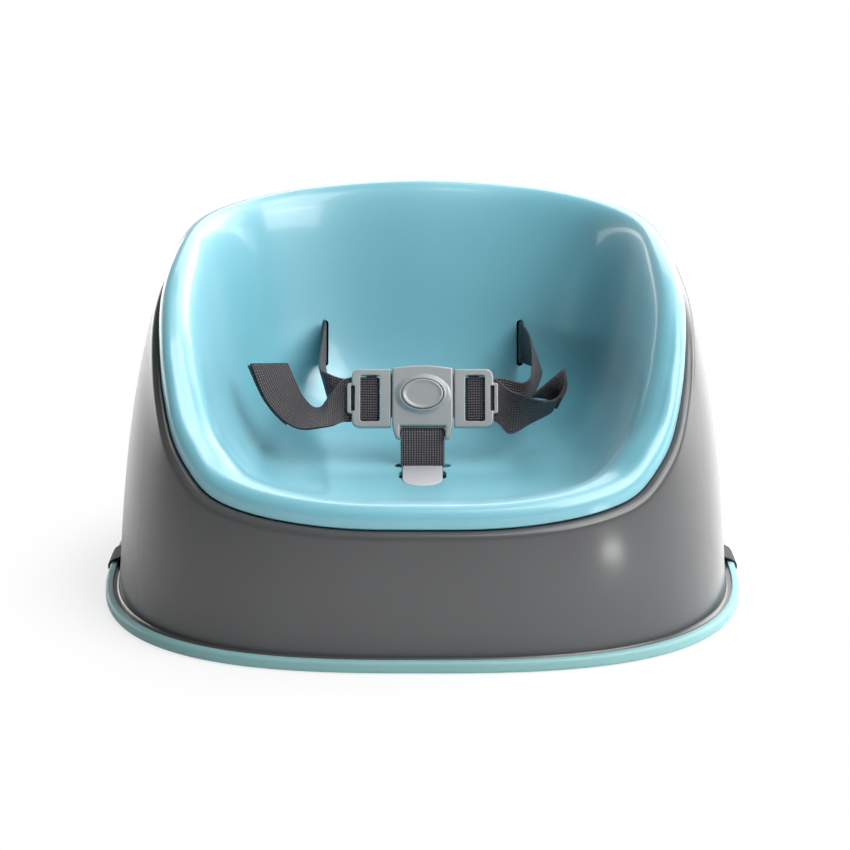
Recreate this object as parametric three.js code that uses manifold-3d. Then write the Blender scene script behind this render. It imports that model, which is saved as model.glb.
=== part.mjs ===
import * as THREE from "three";
import { mergeVertices } from "three/addons/utils/BufferGeometryUtils.js";
import Module from "manifold-3d";

// A child's booster seat that straps to a dining chair, in millimetres, +Z up, the front toward -Y.
// The origin is the middle of the footprint, on the surface that the seat stands on.
// "Outset" is a distance out from the grey wall's outline, so a negative outset lies inside it.

const wasm = await Module();
wasm.setup();

// Running and fitting gaps
const fitGap = 0.3;
const seamGap = 0.8;

// Outline of the grey wall: rounded squares whose corners are fuller than an ellipse's
const baseHalfWidth = 177.6;
const baseHalfDepth = 161.5;
const cornerFullness = 2.8;
const leanHeight = 212;
const leanIn = 42.3;
const straightLeanShare = 0.376;
const backLeanShare = 0.9;

// Height of the seam between the two shells, by degrees round from the front
const seamLine = [
  [0, 74],
  [15, 74.4],
  [27, 77],
  [36, 81],
  [42, 86.5],
  [47, 97],
  [51.5, 109],
  [57, 129],
  [64, 150.5],
  [72, 165],
  [82, 176],
  [94, 183.5],
  [108, 188],
  [128, 192.3],
  [150, 197.3],
  [180, 200.5],
];

// Grey base shell
const baseWall = 3;
const flangeReach = 5.4;
const flangeBottom = 3;
const flangeThickness = 2.2;
const shoulderRadius = 3.5;
const ledgeReach = 17.5;
const ledgeLipDepth = 6;
const ledgeLipWall = 2;
const wallRows = 4;

// Soft ring that grips the flange and stands on the chair
const ringReach = 7.4;
const ringHeight = 6.6;
const ringFootInner = 0.6;
const ringLipInner = 3.2;

// Blue seat shell
const seatWall = 3;
const skirtInset = 3.5;
const skirtRise = 4.5;
const rollWidth = 7;
const rollRise = 7.5;
const wallRollIn = 25;
const wallFootReach = 14;
const panHeight = 77;
const panDish = 1.5;
const panHalfWidth = 78;
const panFront = 100;
const panBack = 58;
const bowlRows = 9;
const rollRows = 4;

// Webbing and its slots
const webWidth = 25;
const webThickness = 1.4;
const slotLength = 28.4;
const slotWidth = 3.8;
const waistSlotX = 60.3;
const waistSlotZ = 116.4;
const crotchSlotY = -41.5;
const crotchSlotLength = 32;
const crotchSlotWidth = 7;

// Rods that keep the webbing ends behind their slots
const keeperRadius = 2;
const keeperOverhang = 4;
const chairRodRadius = 1.8;

// Grey tab that lies in a recess of the pan, in front of the crotch slot
const tabWidth = 22.6;
const tabLength = 37;
const tabStraight = 24;
const tabThickness = 1.6;
const tabBelowPanEdge = 0.4;
const tabOpeningWidth = 26.8;
const tabOpeningLength = 15;
const tabOpeningSetback = 8;
const tabHookWidth = 18;
const tabHookThickness = 2;
const tabHookReach = 2.5;

// Screws that hold the seat shell to the ledge of the base, by degrees round from the front
const screwAngles = [20, 112, 165];
const screwInset = 11;
const screwRadius = 1.45;
const screwHeadRadius = 3.3;
const screwHeadHeight = 2.2;
const screwSeatDepth = 0.8;
const screwLength = 9;
const bossRadius = 3.5;
const bossSink = 0.15;

// Harness buckle, drawn flat: X across, Y up its face, Z out of its face
const buckleY = -34;
const buckleZ = 115;
const buckleLeanBack = THREE.MathUtils.degToRad(25);
const buckleHalfWidth = 17.3;
const buckleBottom = -16.5;
const buckleShoulder = 15.2;
const buckleCrown = 16.8;
const buckleThickness = 8.5;
const buckleBevel = 1.2;
const lugDepth = 9;
const lugTipWidth = 2.4;
const lugRodDrop = 5;
const lugRodRadius = 1.5;
const lugRodBack = 0.6;
const domeRadius = 16;
const domeTopRadius = 13.2;
const domeTop = 6.4;
const ovalShare = 0.725;

// Release button and its spring
const buttonRadius = 11.8;
const buttonTop = 7.3;
const buttonDish = 0.7;
const buttonTravel = 2.5;
const buttonFlange = 1.6;
const buttonFlangeTop = 4.1;
const buttonFlangeThickness = 0.8;
const buttonPostRadius = 1.3;
const buttonPostDrop = 2.2;
const springRadius = 2.6;
const springWire = 0.35;
const springTurns = 5;

// Tongues on the waist straps
const tongueDrop = 1.9;
const tongueHalfHeight = 16.8;
const tongueNearX = 18;
const tongueFarX = 40.4;
const tongueCorner = 5;
const tongueFront = 2.6;
const tongueBack = -3.6;
const tongueBevel = 0.7;
const windowNearX = 24;
const windowFarX = 35.5;
const webSideGap = 0.8;
const webRodX = 27;
const webRodLength = 5.9;
const webRodThickness = 1.8;
const outerBarThickness = 1.9;
const hoopSlotNearX = 38.6;
const hoopSlotFarX = 40.8;
const hoopFarX = 43;
const hoopHalfHeight = 8.8;
const hoopSlotHalfHeight = 7.3;
const shankNearX = 5.8;
const shankHalfHeight = 12.4;
const shankBottom = -2;
const shankTop = 0.2;
const catchNearX = 8.5;
const catchLength = 5;
const catchHalfHeight = 4;

// Chair strap buckle, stowed flat in the hollow under the seat
const chairStrapZ = 9;
const chairSlotZ = 10.6;
const socketFarX = -32;
const socketNearX = 4;
const socketHalfWidth = 16.5;
const socketThickness = 10;
const socketWall = 1.8;
const socketRodX = -28;
const plugNearX = 4.7;
const plugFarX = 25;
const plugRodX = 19.5;
const chairRodThickness = 3;
const armLength = 20;
const armWidth = 3.2;
const armThickness = 4;
const guideWidth = 6;

// Columns round the shells, closer together at the corners
const columns = 56;

// Colours
const seatBlue = 0x8bc9d6;
const baseGrey = 0x757a7b;
const ringAqua = 0x86bcbb;
const webBrown = 0x54505a;
const buckleGrey = 0x969ea0;
const tabGrey = 0xbcbbc1;
const rodGrey = 0x5c6062;
const steel = 0xb8bcc0;

// Cubic curve through points [x, y], read at one x
function through(points, x) {
  let i = 0;
  while (i < points.length - 2 && x > points[i + 1][0]) i += 1;
  const [x0, y0] = points[i];
  const [x1, y1] = points[i + 1];
  const before = points[i - 1] ?? [2 * x0 - x1, y1];
  const after = points[i + 2] ?? [2 * x1 - x0, y0];
  const slope0 = (y1 - before[1]) / (x1 - before[0]);
  const slope1 = (after[1] - y0) / (after[0] - x0);
  const run = x1 - x0;
  const t = (x - x0) / run;
  const rest = 1 - t;
  return (
    y0 * rest * rest * (1 + 2 * t) +
    y1 * t * t * (3 - 2 * t) +
    run * slope0 * t * rest * rest -
    run * slope1 * t * t * rest
  );
}

// Point of a rounded square whose front and back reach differ
function roundedSquare(angle, halfWidth, front, back) {
  const halfDepth = (front + back) / 2;
  const spread =
    Math.abs(Math.cos(angle) / halfWidth) ** cornerFullness +
    Math.abs(Math.sin(angle) / halfDepth) ** cornerFullness;
  const reach = spread ** (-1 / cornerFullness);
  return [reach * Math.cos(angle), (back - front) / 2 + reach * Math.sin(angle)];
}

function leanAt(z) {
  const share = z / leanHeight;
  return leanIn * (straightLeanShare * share + (1 - straightLeanShare) * share ** 3);
}

// Point at an outset from the grey wall's outline at height z
function wallPoint(angle, z, outset) {
  const lean = leanAt(z);
  const halfWidth = baseHalfWidth - lean + outset;
  const front = baseHalfDepth - lean + outset;
  const back = baseHalfDepth - backLeanShare * lean + outset;
  const [x, y] = roundedSquare(angle, halfWidth, front, back);
  return new THREE.Vector3(x, y, z);
}

// Seam height at an angle measured from +X
function seamAt(angle) {
  const fromFront = Math.abs(THREE.MathUtils.radToDeg(Math.atan2(Math.cos(angle), -Math.sin(angle))));
  return through(seamLine, fromFront);
}

// Heights above the seam grow where it climbs, so that the rim stays equally thick
function riseScale(angle) {
  const step = 0.03;
  const low = wallPoint(angle - step, seamAt(angle - step), 0);
  const high = wallPoint(angle + step, seamAt(angle + step), 0);
  const climb = high.z - low.z;
  return Math.hypot(1, climb / Math.hypot(high.x - low.x, high.y - low.y));
}

const columnAngles = Array.from({ length: columns }, (_, i) => {
  const turn = (2 * Math.PI * i) / columns;
  const bend = (value) => Math.sign(value) * Math.abs(value) ** (2 / cornerFullness);
  return Math.atan2(baseHalfDepth * bend(Math.sin(turn)), baseHalfWidth * bend(Math.cos(turn)));
});

// Solids and meshes
function geometryOf(points, faces) {
  const geometry = new THREE.BufferGeometry();
  geometry.setAttribute("position", new THREE.Float32BufferAttribute(points.flat(), 3));
  geometry.setIndex(faces.flat());
  return geometry;
}

function solidOf(geometry) {
  const bare = geometry.clone();
  bare.deleteAttribute("normal");
  bare.deleteAttribute("uv");
  const merged = mergeVertices(bare, 1e-4);
  return new wasm.Manifold(
    new wasm.Mesh({
      numProp: 3,
      vertProperties: merged.attributes.position.array,
      triVerts: new Uint32Array(merged.index.array),
    }),
  );
}

function geometryFrom(solid) {
  const mesh = solid.getMesh();
  const geometry = new THREE.BufferGeometry();
  geometry.setAttribute("position", new THREE.BufferAttribute(mesh.vertProperties, 3));
  geometry.setIndex(new THREE.BufferAttribute(mesh.triVerts, 1));
  return geometry;
}

function box(low, high) {
  const size = high.map((value, i) => value - low[i]);
  const middle = high.map((value, i) => (value + low[i]) / 2);
  return new THREE.BoxGeometry(...size).translate(...middle);
}

function rod(radius, length, sides = 16) {
  return new THREE.CylinderGeometry(radius, radius, length, sides);
}

// Closed ring swept round all columns from one closed profile per column
function ringLoft(profileAt) {
  const loops = columnAngles.map(profileAt);
  const count = loops[0].length;
  const faces = [];
  for (let i = 0; i < columns; i += 1) {
    const next = (i + 1) % columns;
    for (let j = 0; j < count; j += 1) {
      const up = (j + 1) % count;
      faces.push([i * count + j, next * count + j, next * count + up]);
      faces.push([i * count + j, next * count + up, i * count + up]);
    }
  }
  return geometryOf(loops.flat().map((p) => [p.x, p.y, p.z]), faces);
}

// Flat shape with straight sides that follows a centre line, w thick
function ribbonShape(line, thickness) {
  const left = [];
  const right = [];
  line.forEach((point, i) => {
    const before = line[Math.max(i - 1, 0)];
    const after = line[Math.min(i + 1, line.length - 1)];
    const along = after.clone().sub(before).normalize();
    const side = new THREE.Vector2(-along.y, along.x).multiplyScalar(thickness / 2);
    left.push(point.clone().add(side));
    right.unshift(point.clone().sub(side));
  });
  return new THREE.Shape([...left, ...right]);
}

// The same for a line that closes on itself
function bandShape(line, thickness) {
  const count = line.length;
  const offset = (distance) =>
    line.map((point, i) => {
      const before = line[(i + count - 1) % count];
      const after = line[(i + 1) % count];
      const along = after.clone().sub(before).normalize();
      return point.clone().add(new THREE.Vector2(along.y, -along.x).multiplyScalar(distance));
    });
  const shape = new THREE.Shape(offset(thickness / 2));
  shape.holes.push(new THREE.Path(offset(-thickness / 2)));
  return shape;
}

function arc(x, y, radius, from, to, steps) {
  return Array.from({ length: steps + 1 }, (_, i) => {
    const turn = THREE.MathUtils.degToRad(from + ((to - from) * i) / steps);
    return new THREE.Vector2(x + radius * Math.cos(turn), y + radius * Math.sin(turn));
  });
}

function extrude(shape, depth) {
  return new THREE.ExtrudeGeometry(shape, { depth, bevelEnabled: false, curveSegments: 8 });
}

// Block with its shape's edges rounded on both faces, from z = back to z = front
function pillow(shape, back, front, bevel) {
  const geometry = new THREE.ExtrudeGeometry(shape, {
    depth: front - back - 2 * bevel,
    bevelThickness: bevel,
    bevelSize: bevel,
    bevelOffset: -bevel,
    bevelSegments: 2,
    curveSegments: 5,
  });
  return geometry.translate(0, 0, back + bevel);
}

const part = new THREE.Group();

function place(name, geometry, color, roughness, into = part, metalness = 0) {
  const material = new THREE.MeshStandardMaterial({ color, roughness, metalness });
  const mesh = new THREE.Mesh(geometry, material);
  mesh.name = name;
  into.add(mesh);
  return mesh;
}

// Base shell: an open-bottomed tub with a flange at its foot and a ledge for the seat at its top
const flangeTop = flangeBottom + flangeThickness;

function baseProfile(angle) {
  const rise = riseScale(angle);
  const ledge = seamAt(angle) - seamGap * rise;
  const shoulder = ledge - shoulderRadius * rise;
  const foot = flangeTop + shoulderRadius / 2;
  const at = (outset, z) => wallPoint(angle, z, outset);
  const outside = [at(flangeReach, flangeBottom), at(flangeReach, flangeTop), at(1, flangeTop)];
  for (let i = 0; i <= wallRows; i += 1) {
    outside.push(at(0, foot + ((shoulder - foot) * i) / wallRows));
  }
  const bend = (turn) =>
    at(
      shoulderRadius * (Math.cos(turn) - 1),
      shoulder + shoulderRadius * rise * Math.sin(turn),
    );
  outside.push(bend(Math.PI / 6), bend(Math.PI / 3), bend(Math.PI / 2));
  const lipBottom = ledge - ledgeLipDepth * rise;
  const underLedge = ledge - baseWall * rise;
  const upright = (outset, z) => wallPoint(angle, ledge, outset).setZ(z);
  const inside = [
    upright(-ledgeReach, ledge),
    upright(-ledgeReach, lipBottom),
    upright(-ledgeReach + ledgeLipWall, lipBottom),
    upright(-ledgeReach + ledgeLipWall, underLedge),
    upright(-baseWall - 1, underLedge),
  ];
  const innerTop = underLedge - shoulderRadius * rise;
  for (let i = 0; i <= wallRows; i += 1) {
    inside.push(at(-baseWall, innerTop + ((flangeBottom - innerTop) * i) / wallRows));
  }
  return [...outside, ...inside];
}

// Seat shell: bowl, rolled rim and skirt as one sheet, then the same sheet a wall deeper
const skirtOutset = -skirtInset;
const crestOutset = skirtOutset - rollWidth;

function crestOf(angle) {
  const crestHeight = seamAt(angle) + (skirtRise + rollRise) * riseScale(angle);
  const point = wallPoint(angle, seamAt(angle), crestOutset);
  return point.setZ(crestHeight);
}

// Point of the bowl, from 0 at the crest of the rim to 1 at the edge of the pan
function bowlPoint(angle, t) {
  const crest = crestOf(angle);
  const [panX, panY] = roundedSquare(angle, panHalfWidth, panFront, panBack);
  const edge = new THREE.Vector3(panX, panY, panHeight);
  const inward = new THREE.Vector3(edge.x - crest.x, edge.y - crest.y, 0).normalize();
  const roll = crest.clone().addScaledVector(inward, wallRollIn);
  const foot = crest.clone().addScaledVector(inward, wallFootReach).setZ(panHeight);
  return new THREE.CubicBezierCurve3(crest, roll, foot, edge).getPoint(t);
}

const panMiddleZ = panHeight - panDish;
const panMiddle = new THREE.Vector3(0, (panBack - panFront) / 2, panMiddleZ);

function seatRow(angle) {
  const rise = riseScale(angle);
  const seam = seamAt(angle);
  const edge = bowlPoint(angle, 1);
  const half = edge.clone().lerp(panMiddle, 0.5).setZ(panHeight - panDish * 0.75);
  const row = [half];
  for (let i = bowlRows; i >= 0; i -= 1) row.push(bowlPoint(angle, i / bowlRows));
  for (let i = 1; i <= rollRows; i += 1) {
    const turn = (Math.PI / 2) * (i / rollRows);
    const outset = crestOutset + rollWidth * Math.sin(turn);
    const z = seam + (skirtRise + rollRise * Math.cos(turn)) * rise;
    row.push(wallPoint(angle, seam, outset).setZ(z));
  }
  row.push(wallPoint(angle, seam, skirtOutset));
  return row;
}

function seatSheet() {
  const rows = columnAngles.map(seatRow);
  const count = rows[0].length;
  const topPoints = rows.flat();
  const normals = [];
  for (let i = 0; i < columns; i += 1) {
    for (let j = 0; j < count; j += 1) {
      const round = rows[(i + 1) % columns][j].clone().sub(rows[(i + columns - 1) % columns][j]);
      const out = rows[i][Math.min(j + 1, count - 1)].clone().sub(rows[i][j > 0 ? j - 1 : 0]);
      normals.push(out.cross(round).normalize());
    }
  }
  const under = topPoints.map((p, k) => p.clone().addScaledVector(normals[k], -seatWall));
  under.forEach((p, k) => {
    if (k % count === count - 1) p.setZ(topPoints[k].z);
  });
  const points = [...topPoints, ...under, panMiddle, panMiddle.clone().setZ(panMiddle.z - seatWall)];
  const depth = topPoints.length;
  const topPole = 2 * depth;
  const faces = [];
  for (let i = 0; i < columns; i += 1) {
    const a = i * count;
    const b = ((i + 1) % columns) * count;
    faces.push([topPole, a, b], [topPole + 1, b + depth, a + depth]);
    for (let j = 0; j < count - 1; j += 1) {
      faces.push([a + j, a + j + 1, b + j + 1], [a + j, b + j + 1, b + j]);
      faces.push(
        [a + j + depth, b + j + 1 + depth, a + j + 1 + depth],
        [a + j + depth, b + j + depth, b + j + 1 + depth],
      );
    }
    const last = count - 1;
    faces.push([a + last, a + last + depth, b + last + depth], [a + last, b + last + depth, b + last]);
  }
  return geometryOf(points.map((p) => [p.x, p.y, p.z]), faces);
}

// Place on the back wall of the bowl at a given x and height
function bowlAt(x, z) {
  const heightAt = (angle) => {
    let low = 0;
    let high = 1;
    for (let i = 0; i < 40; i += 1) {
      const t = (low + high) / 2;
      if (bowlPoint(angle, t).z > z) low = t;
      else high = t;
    }
    return bowlPoint(angle, low);
  };
  let near = 0.3;
  let far = Math.PI / 2;
  for (let i = 0; i < 40; i += 1) {
    const angle = (near + far) / 2;
    if (heightAt(angle).x > x) near = angle;
    else far = angle;
  }
  return heightAt(far);
}

const slotLow = bowlAt(waistSlotX, waistSlotZ - slotLength / 2);
const slotHigh = bowlAt(waistSlotX, waistSlotZ + slotLength / 2);
const slotUp = slotHigh.clone().sub(slotLow).normalize();
const slotMiddle = slotLow.clone().add(slotHigh).multiplyScalar(0.5);
const slotLean = Math.atan2(slotUp.y, slotUp.z);
const slotBack = new THREE.Vector3(0, Math.cos(slotLean), -Math.sin(slotLean));

// Screws, bosses and their holes
const screwPlaces = screwAngles.flatMap((degrees) =>
  [-1, 1].map((side) => {
    const angle = -Math.PI / 2 + side * THREE.MathUtils.degToRad(degrees);
    const seam = seamAt(angle);
    const rise = riseScale(angle);
    const headSeat = seam - (seamGap + baseWall) * rise + screwSeatDepth;
    return { point: wallPoint(angle, seam, -screwInset), seam, rise, headSeat };
  }),
);

function uprightRod(radius, length, point, bottom, sides) {
  const geometry = rod(radius, length, sides).rotateX(Math.PI / 2);
  return solidOf(geometry.translate(point.x, point.y, bottom + length / 2));
}

let base = solidOf(ringLoft(baseProfile));
const cutReach = 20;
for (const side of [-1, 1]) {
  const wallX = side * baseHalfWidth;
  const halfSlot = slotLength / 2;
  const low = [wallX - cutReach, -halfSlot, chairSlotZ - slotWidth / 2];
  const high = [wallX + cutReach, halfSlot, chairSlotZ + slotWidth / 2];
  base = base.subtract(solidOf(box(low, high)));
}
for (const { point, seam, headSeat } of screwPlaces) {
  base = base.subtract(uprightRod(screwRadius + fitGap, 2 * cutReach, point, seam - cutReach, 12));
  const seatBottom = headSeat - screwHeadHeight;
  base = base.subtract(uprightRod(screwHeadRadius + fitGap, screwHeadHeight, point, seatBottom, 16));
}
place("base_shell", geometryFrom(base), baseGrey, 0.45);

// Seat shell with its bosses, slots and the opening under the tab
let seat = solidOf(seatSheet());
const raisedBase = base.translate([0, 0, fitGap]);
for (const { point, seam, rise } of screwPlaces) {
  const bossBottom = seam - seamGap - baseWall / 3;
  const bossTop = seam + (skirtRise + rollRise - seatWall) * rise + bossSink;
  const boss = uprightRod(bossRadius, bossTop - bossBottom, point, bossBottom, 16);
  const bore = uprightRod(screwRadius + fitGap, screwLength, point, seam - screwLength / 3, 12);
  seat = seat.add(boss.subtract(raisedBase)).subtract(bore);
}
for (const side of [-1, 1]) {
  const slot = new THREE.Shape();
  const reach = slotLength / 2;
  const round = slotWidth / 2;
  slot.absarc(0, reach - round, round, 0, Math.PI, false);
  slot.absarc(0, -reach + round, round, Math.PI, 2 * Math.PI, false);
  const cutter = extrude(slot, 2 * cutReach).translate(0, 0, -cutReach);
  cutter.rotateX(Math.PI / 2 - slotLean);
  cutter.translate(side * waistSlotX, slotMiddle.y, slotMiddle.z);
  seat = seat.subtract(solidOf(cutter));
}
const crotchFront = crotchSlotY - crotchSlotWidth / 2;
const crotchSlotShape = new THREE.Shape();
const slotEnd = (crotchSlotLength - crotchSlotWidth) / 2;
crotchSlotShape.absarc(slotEnd, crotchSlotY, crotchSlotWidth / 2, -Math.PI / 2, Math.PI / 2, false);
crotchSlotShape.absarc(-slotEnd, crotchSlotY, crotchSlotWidth / 2, Math.PI / 2, Math.PI * 1.5, false);
const crotchSlot = extrude(crotchSlotShape, 2 * cutReach).translate(0, 0, panHeight - cutReach);

// Outline of the tab, or of its recess when grown
const tabBack = crotchFront - fitGap;

function tabOutline(grow) {
  const half = tabWidth / 2 + grow;
  const back = tabBack + grow;
  const bend = tabBack - tabStraight;
  const front = tabBack - tabLength - grow;
  const outline = new THREE.Shape();
  outline.moveTo(-half, back);
  outline.lineTo(-half, bend);
  outline.bezierCurveTo(-half, bend + (front - bend) * 0.6, -half * 0.55, front, 0, front);
  outline.bezierCurveTo(half * 0.55, front, half, bend + (front - bend) * 0.6, half, bend);
  outline.lineTo(half, back);
  return outline;
}

const tabTop = panHeight - tabBelowPanEdge;
const tabBottom = tabTop - tabThickness;
const recess = extrude(tabOutline(fitGap), cutReach).translate(0, 0, tabBottom - fitGap);
const tabOpening = box(
  [-tabOpeningWidth / 2, tabBack - tabOpeningSetback - tabOpeningLength, panHeight - cutReach],
  [tabOpeningWidth / 2, tabBack - tabOpeningSetback, panHeight + cutReach],
);
for (const cutter of [crotchSlot, recess, tabOpening]) seat = seat.subtract(solidOf(cutter));
place("seat_shell", geometryFrom(seat), seatBlue, 0.2);

screwPlaces.forEach(({ point, headSeat }, i) => {
  const headTop = -fitGap;
  const profile = [
    [0, headTop - screwHeadHeight],
    [screwHeadRadius * 0.7, headTop - screwHeadHeight],
    [screwHeadRadius, headTop - screwHeadHeight * 0.4],
    [screwHeadRadius, headTop],
    [screwRadius, headTop],
    [screwRadius, headTop + screwLength - screwRadius],
    [0, headTop + screwLength],
  ].map(([r, z]) => new THREE.Vector2(r, z));
  const screw = new THREE.LatheGeometry(profile, 12).rotateX(Math.PI / 2);
  place(`rim_screw_${i + 1}`, screw.translate(point.x, point.y, headSeat), steel, 0.35, part, 0.9);
});

// Ring: a soft U-section with a flat foot, notched under the chair straps
function ringProfile(angle) {
  const grooveTop = flangeTop + fitGap;
  const grooveBottom = flangeBottom - fitGap;
  const grooveReach = flangeReach + fitGap;
  const at = (outset, z) => wallPoint(angle, 0, outset).setZ(z);
  return [
    at(ringFootInner, 0),
    at(ringReach - 2.8, 0),
    at(ringReach - 1, ringHeight * 0.09),
    at(ringReach, ringHeight * 0.36),
    at(ringReach, ringHeight * 0.67),
    at(ringReach - 0.8, ringHeight * 0.91),
    at(ringReach - 2.2, ringHeight),
    at(ringLipInner, ringHeight),
    at(ringLipInner, grooveTop),
    at(grooveReach, grooveTop),
    at(grooveReach, grooveBottom),
    at(ringFootInner, grooveBottom),
  ];
}

let ring = solidOf(ringLoft(ringProfile));
const strapDrop = fitGap + webThickness + fitGap;
for (const side of [-1, 1]) {
  const ringX = side * baseHalfWidth;
  const halfSlot = slotLength / 2;
  const low = [ringX - cutReach, -halfSlot, -1];
  const high = [ringX + cutReach, halfSlot, strapDrop + fitGap / 2];
  ring = ring.subtract(solidOf(box(low, high)));
}
place("base_ring", geometryFrom(ring), ringAqua, 0.5);

// Harness buckle group, leaning back
const buckle = new THREE.Group();
buckle.position.set(0, buckleY, buckleZ);
buckle.rotation.x = Math.PI / 2 - buckleLeanBack;
part.add(buckle);
buckle.updateMatrixWorld(true);

function fromBuckle(x, y, z) {
  return new THREE.Vector3(x, y, z).applyMatrix4(buckle.matrixWorld);
}

function buckleOutline() {
  const slotHalf = webWidth / 2 + fitGap;
  const lugEnd = buckleBottom - lugDepth;
  const outline = new THREE.Shape();
  outline.moveTo(-slotHalf, buckleBottom - 1.6);
  outline.lineTo(-slotHalf, lugEnd);
  outline.lineTo(-slotHalf - lugTipWidth, lugEnd + 0.6);
  outline.quadraticCurveTo(-buckleHalfWidth + 0.4, buckleBottom - 4, -buckleHalfWidth, buckleBottom);
  outline.lineTo(-buckleHalfWidth, buckleShoulder);
  outline.quadraticCurveTo(0, 2 * buckleCrown - buckleShoulder, buckleHalfWidth, buckleShoulder);
  outline.lineTo(buckleHalfWidth, buckleBottom);
  outline.quadraticCurveTo(buckleHalfWidth - 0.4, buckleBottom - 4, slotHalf + lugTipWidth, lugEnd + 0.6);
  outline.lineTo(slotHalf, lugEnd);
  outline.lineTo(slotHalf, buckleBottom - 1.6);
  return outline;
}

// Oval solid of revolution: a lathe about Z, squeezed in Y
function ovalLathe(profile, sides = 28) {
  const points = profile.map(([r, z]) => new THREE.Vector2(r, z));
  return solidOf(new THREE.LatheGeometry(points, sides).rotateX(Math.PI / 2).scale(1, ovalShare, 1));
}

const halfBuckle = buckleThickness / 2;
const bigReach = 40;
const mouthHalf = shankHalfHeight + 2 * fitGap;
const floorZ = shankBottom - fitGap;
const mouthTop = shankTop + fitGap;
const cavityRadius = buttonRadius + buttonFlange + fitGap;
const buckleBody = solidOf(pillow(buckleOutline(), -halfBuckle, halfBuckle, buckleBevel));
const dome = ovalLathe([
  [0, 0],
  [domeRadius, 0],
  [domeRadius, halfBuckle - 0.2],
  [domeRadius - 0.8, halfBuckle + 0.4],
  [domeTopRadius + 0.4, domeTop - 0.4],
  [domeTopRadius - 0.2, domeTop],
  [0, domeTop],
]);
const cavity = ovalLathe([
  [0, 0],
  [cavityRadius, 0],
  [cavityRadius, buttonFlangeTop + fitGap],
  [0, buttonFlangeTop + fitGap],
]);
const buttonHole = ovalLathe([
  [0, 0],
  [buttonRadius + fitGap, 0],
  [buttonRadius + fitGap, bigReach],
  [0, bigReach],
]);
const channel = solidOf(box([-bigReach, -mouthHalf, floorZ], [bigReach, mouthHalf, mouthTop]));
const frontHalf = solidOf(box([-bigReach, -bigReach, fitGap / 2], [bigReach, bigReach, bigReach]));
const backHalf = solidOf(box([-bigReach, -bigReach, -bigReach], [bigReach, bigReach, -fitGap / 2]));

const buckleFront = buckleBody
  .add(dome)
  .intersect(frontHalf)
  .subtract(channel)
  .subtract(cavity)
  .subtract(buttonHole);
place("buckle_front", geometryFrom(buckleFront), buckleGrey, 0.35, buckle);

const lugRodY = buckleBottom - lugRodDrop;
const lugRodLength = 2 * (webWidth / 2 + fitGap) + 2;
const lugRod = solidOf(
  rod(lugRodRadius, lugRodLength, 12)
    .rotateZ(Math.PI / 2)
    .translate(0, lugRodY, -halfBuckle + lugRodRadius + lugRodBack),
);
const buckleBack = buckleBody.intersect(backHalf).subtract(channel).add(lugRod);
place("buckle_back", geometryFrom(buckleBack), buckleGrey, 0.4, buckle);

// Release button: a dished cap, a flange that keeps it in, and a post inside the spring
const flangeUnder = buttonFlangeTop - buttonFlangeThickness;
const postBottom = flangeUnder - buttonPostDrop;
const button = ovalLathe([
  [0, flangeUnder],
  [buttonRadius + buttonFlange, flangeUnder],
  [buttonRadius + buttonFlange, buttonFlangeTop],
  [buttonRadius, buttonFlangeTop],
  [buttonRadius, buttonTop - 0.8],
  [buttonRadius - 0.35, buttonTop - 0.2],
  [buttonRadius - 1, buttonTop],
  [buttonRadius - 1.8, buttonTop - 0.25],
  [buttonRadius - 2.8, buttonTop - buttonDish * 0.8],
  [0, buttonTop - buttonDish],
]);
const post = solidOf(
  rod(buttonPostRadius, buttonPostDrop + 0.2, 12)
    .rotateX(Math.PI / 2)
    .translate(0, 0, postBottom + (buttonPostDrop + 0.2) / 2),
);
place("release_button", geometryFrom(button.add(post)), buckleGrey, 0.35, buckle);

// Spring between the button and the floor of the back half
class Helix extends THREE.Curve {
  constructor(radius, low, high, turns) {
    super();
    this.radius = radius;
    this.low = low;
    this.high = high;
    this.turns = turns;
  }

  getPoint(t, target = new THREE.Vector3()) {
    const turn = 2 * Math.PI * this.turns * t;
    const z = this.low + (this.high - this.low) * t;
    return target.set(this.radius * Math.cos(turn), this.radius * Math.sin(turn), z);
  }
}

const wireRound = new THREE.Shape(arc(0, 0, springWire, 0, 300, 5));
const coil = new Helix(
  springRadius,
  floorZ + springWire + fitGap / 2,
  flangeUnder - springWire - fitGap / 2,
  springTurns,
);
const spring = new THREE.ExtrudeGeometry(wireRound, { steps: 8 * springTurns, extrudePath: coil });
place("button_spring", spring, steel, 0.3, buckle, 0.9);

// Tongues: a ladder frame for the webbing, a hoop at its far end and a shank in the buckle
function frameOutline(side) {
  const outline = new THREE.Shape();
  outline.moveTo(side * tongueNearX, -tongueHalfHeight);
  outline.lineTo(side * tongueNearX, tongueHalfHeight);
  const bend = tongueFarX - tongueCorner;
  outline.lineTo(side * bend, tongueHalfHeight);
  outline.quadraticCurveTo(
    side * tongueFarX,
    tongueHalfHeight,
    side * tongueFarX,
    tongueHalfHeight - tongueCorner,
  );
  outline.lineTo(side * tongueFarX, -tongueHalfHeight + tongueCorner);
  outline.quadraticCurveTo(side * tongueFarX, -tongueHalfHeight, side * bend, -tongueHalfHeight);
  return outline;
}

const webHalf = webWidth / 2 + webSideGap;
const frontLegZ = tongueFront - outerBarThickness - fitGap - webThickness / 2;
const webRodTop = frontLegZ - webThickness / 2 - fitGap;
const webRodMiddle = webRodTop - webRodThickness / 2;
const legRadius = webRodThickness / 2 + fitGap + webThickness / 2;
const backLegZ = frontLegZ - 2 * legRadius;

function sided(side, nearX, farX, y, low, high) {
  const x0 = Math.min(side * nearX, side * farX);
  const x1 = Math.max(side * nearX, side * farX);
  return solidOf(box([x0, -y, low], [x1, y, high]));
}

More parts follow.
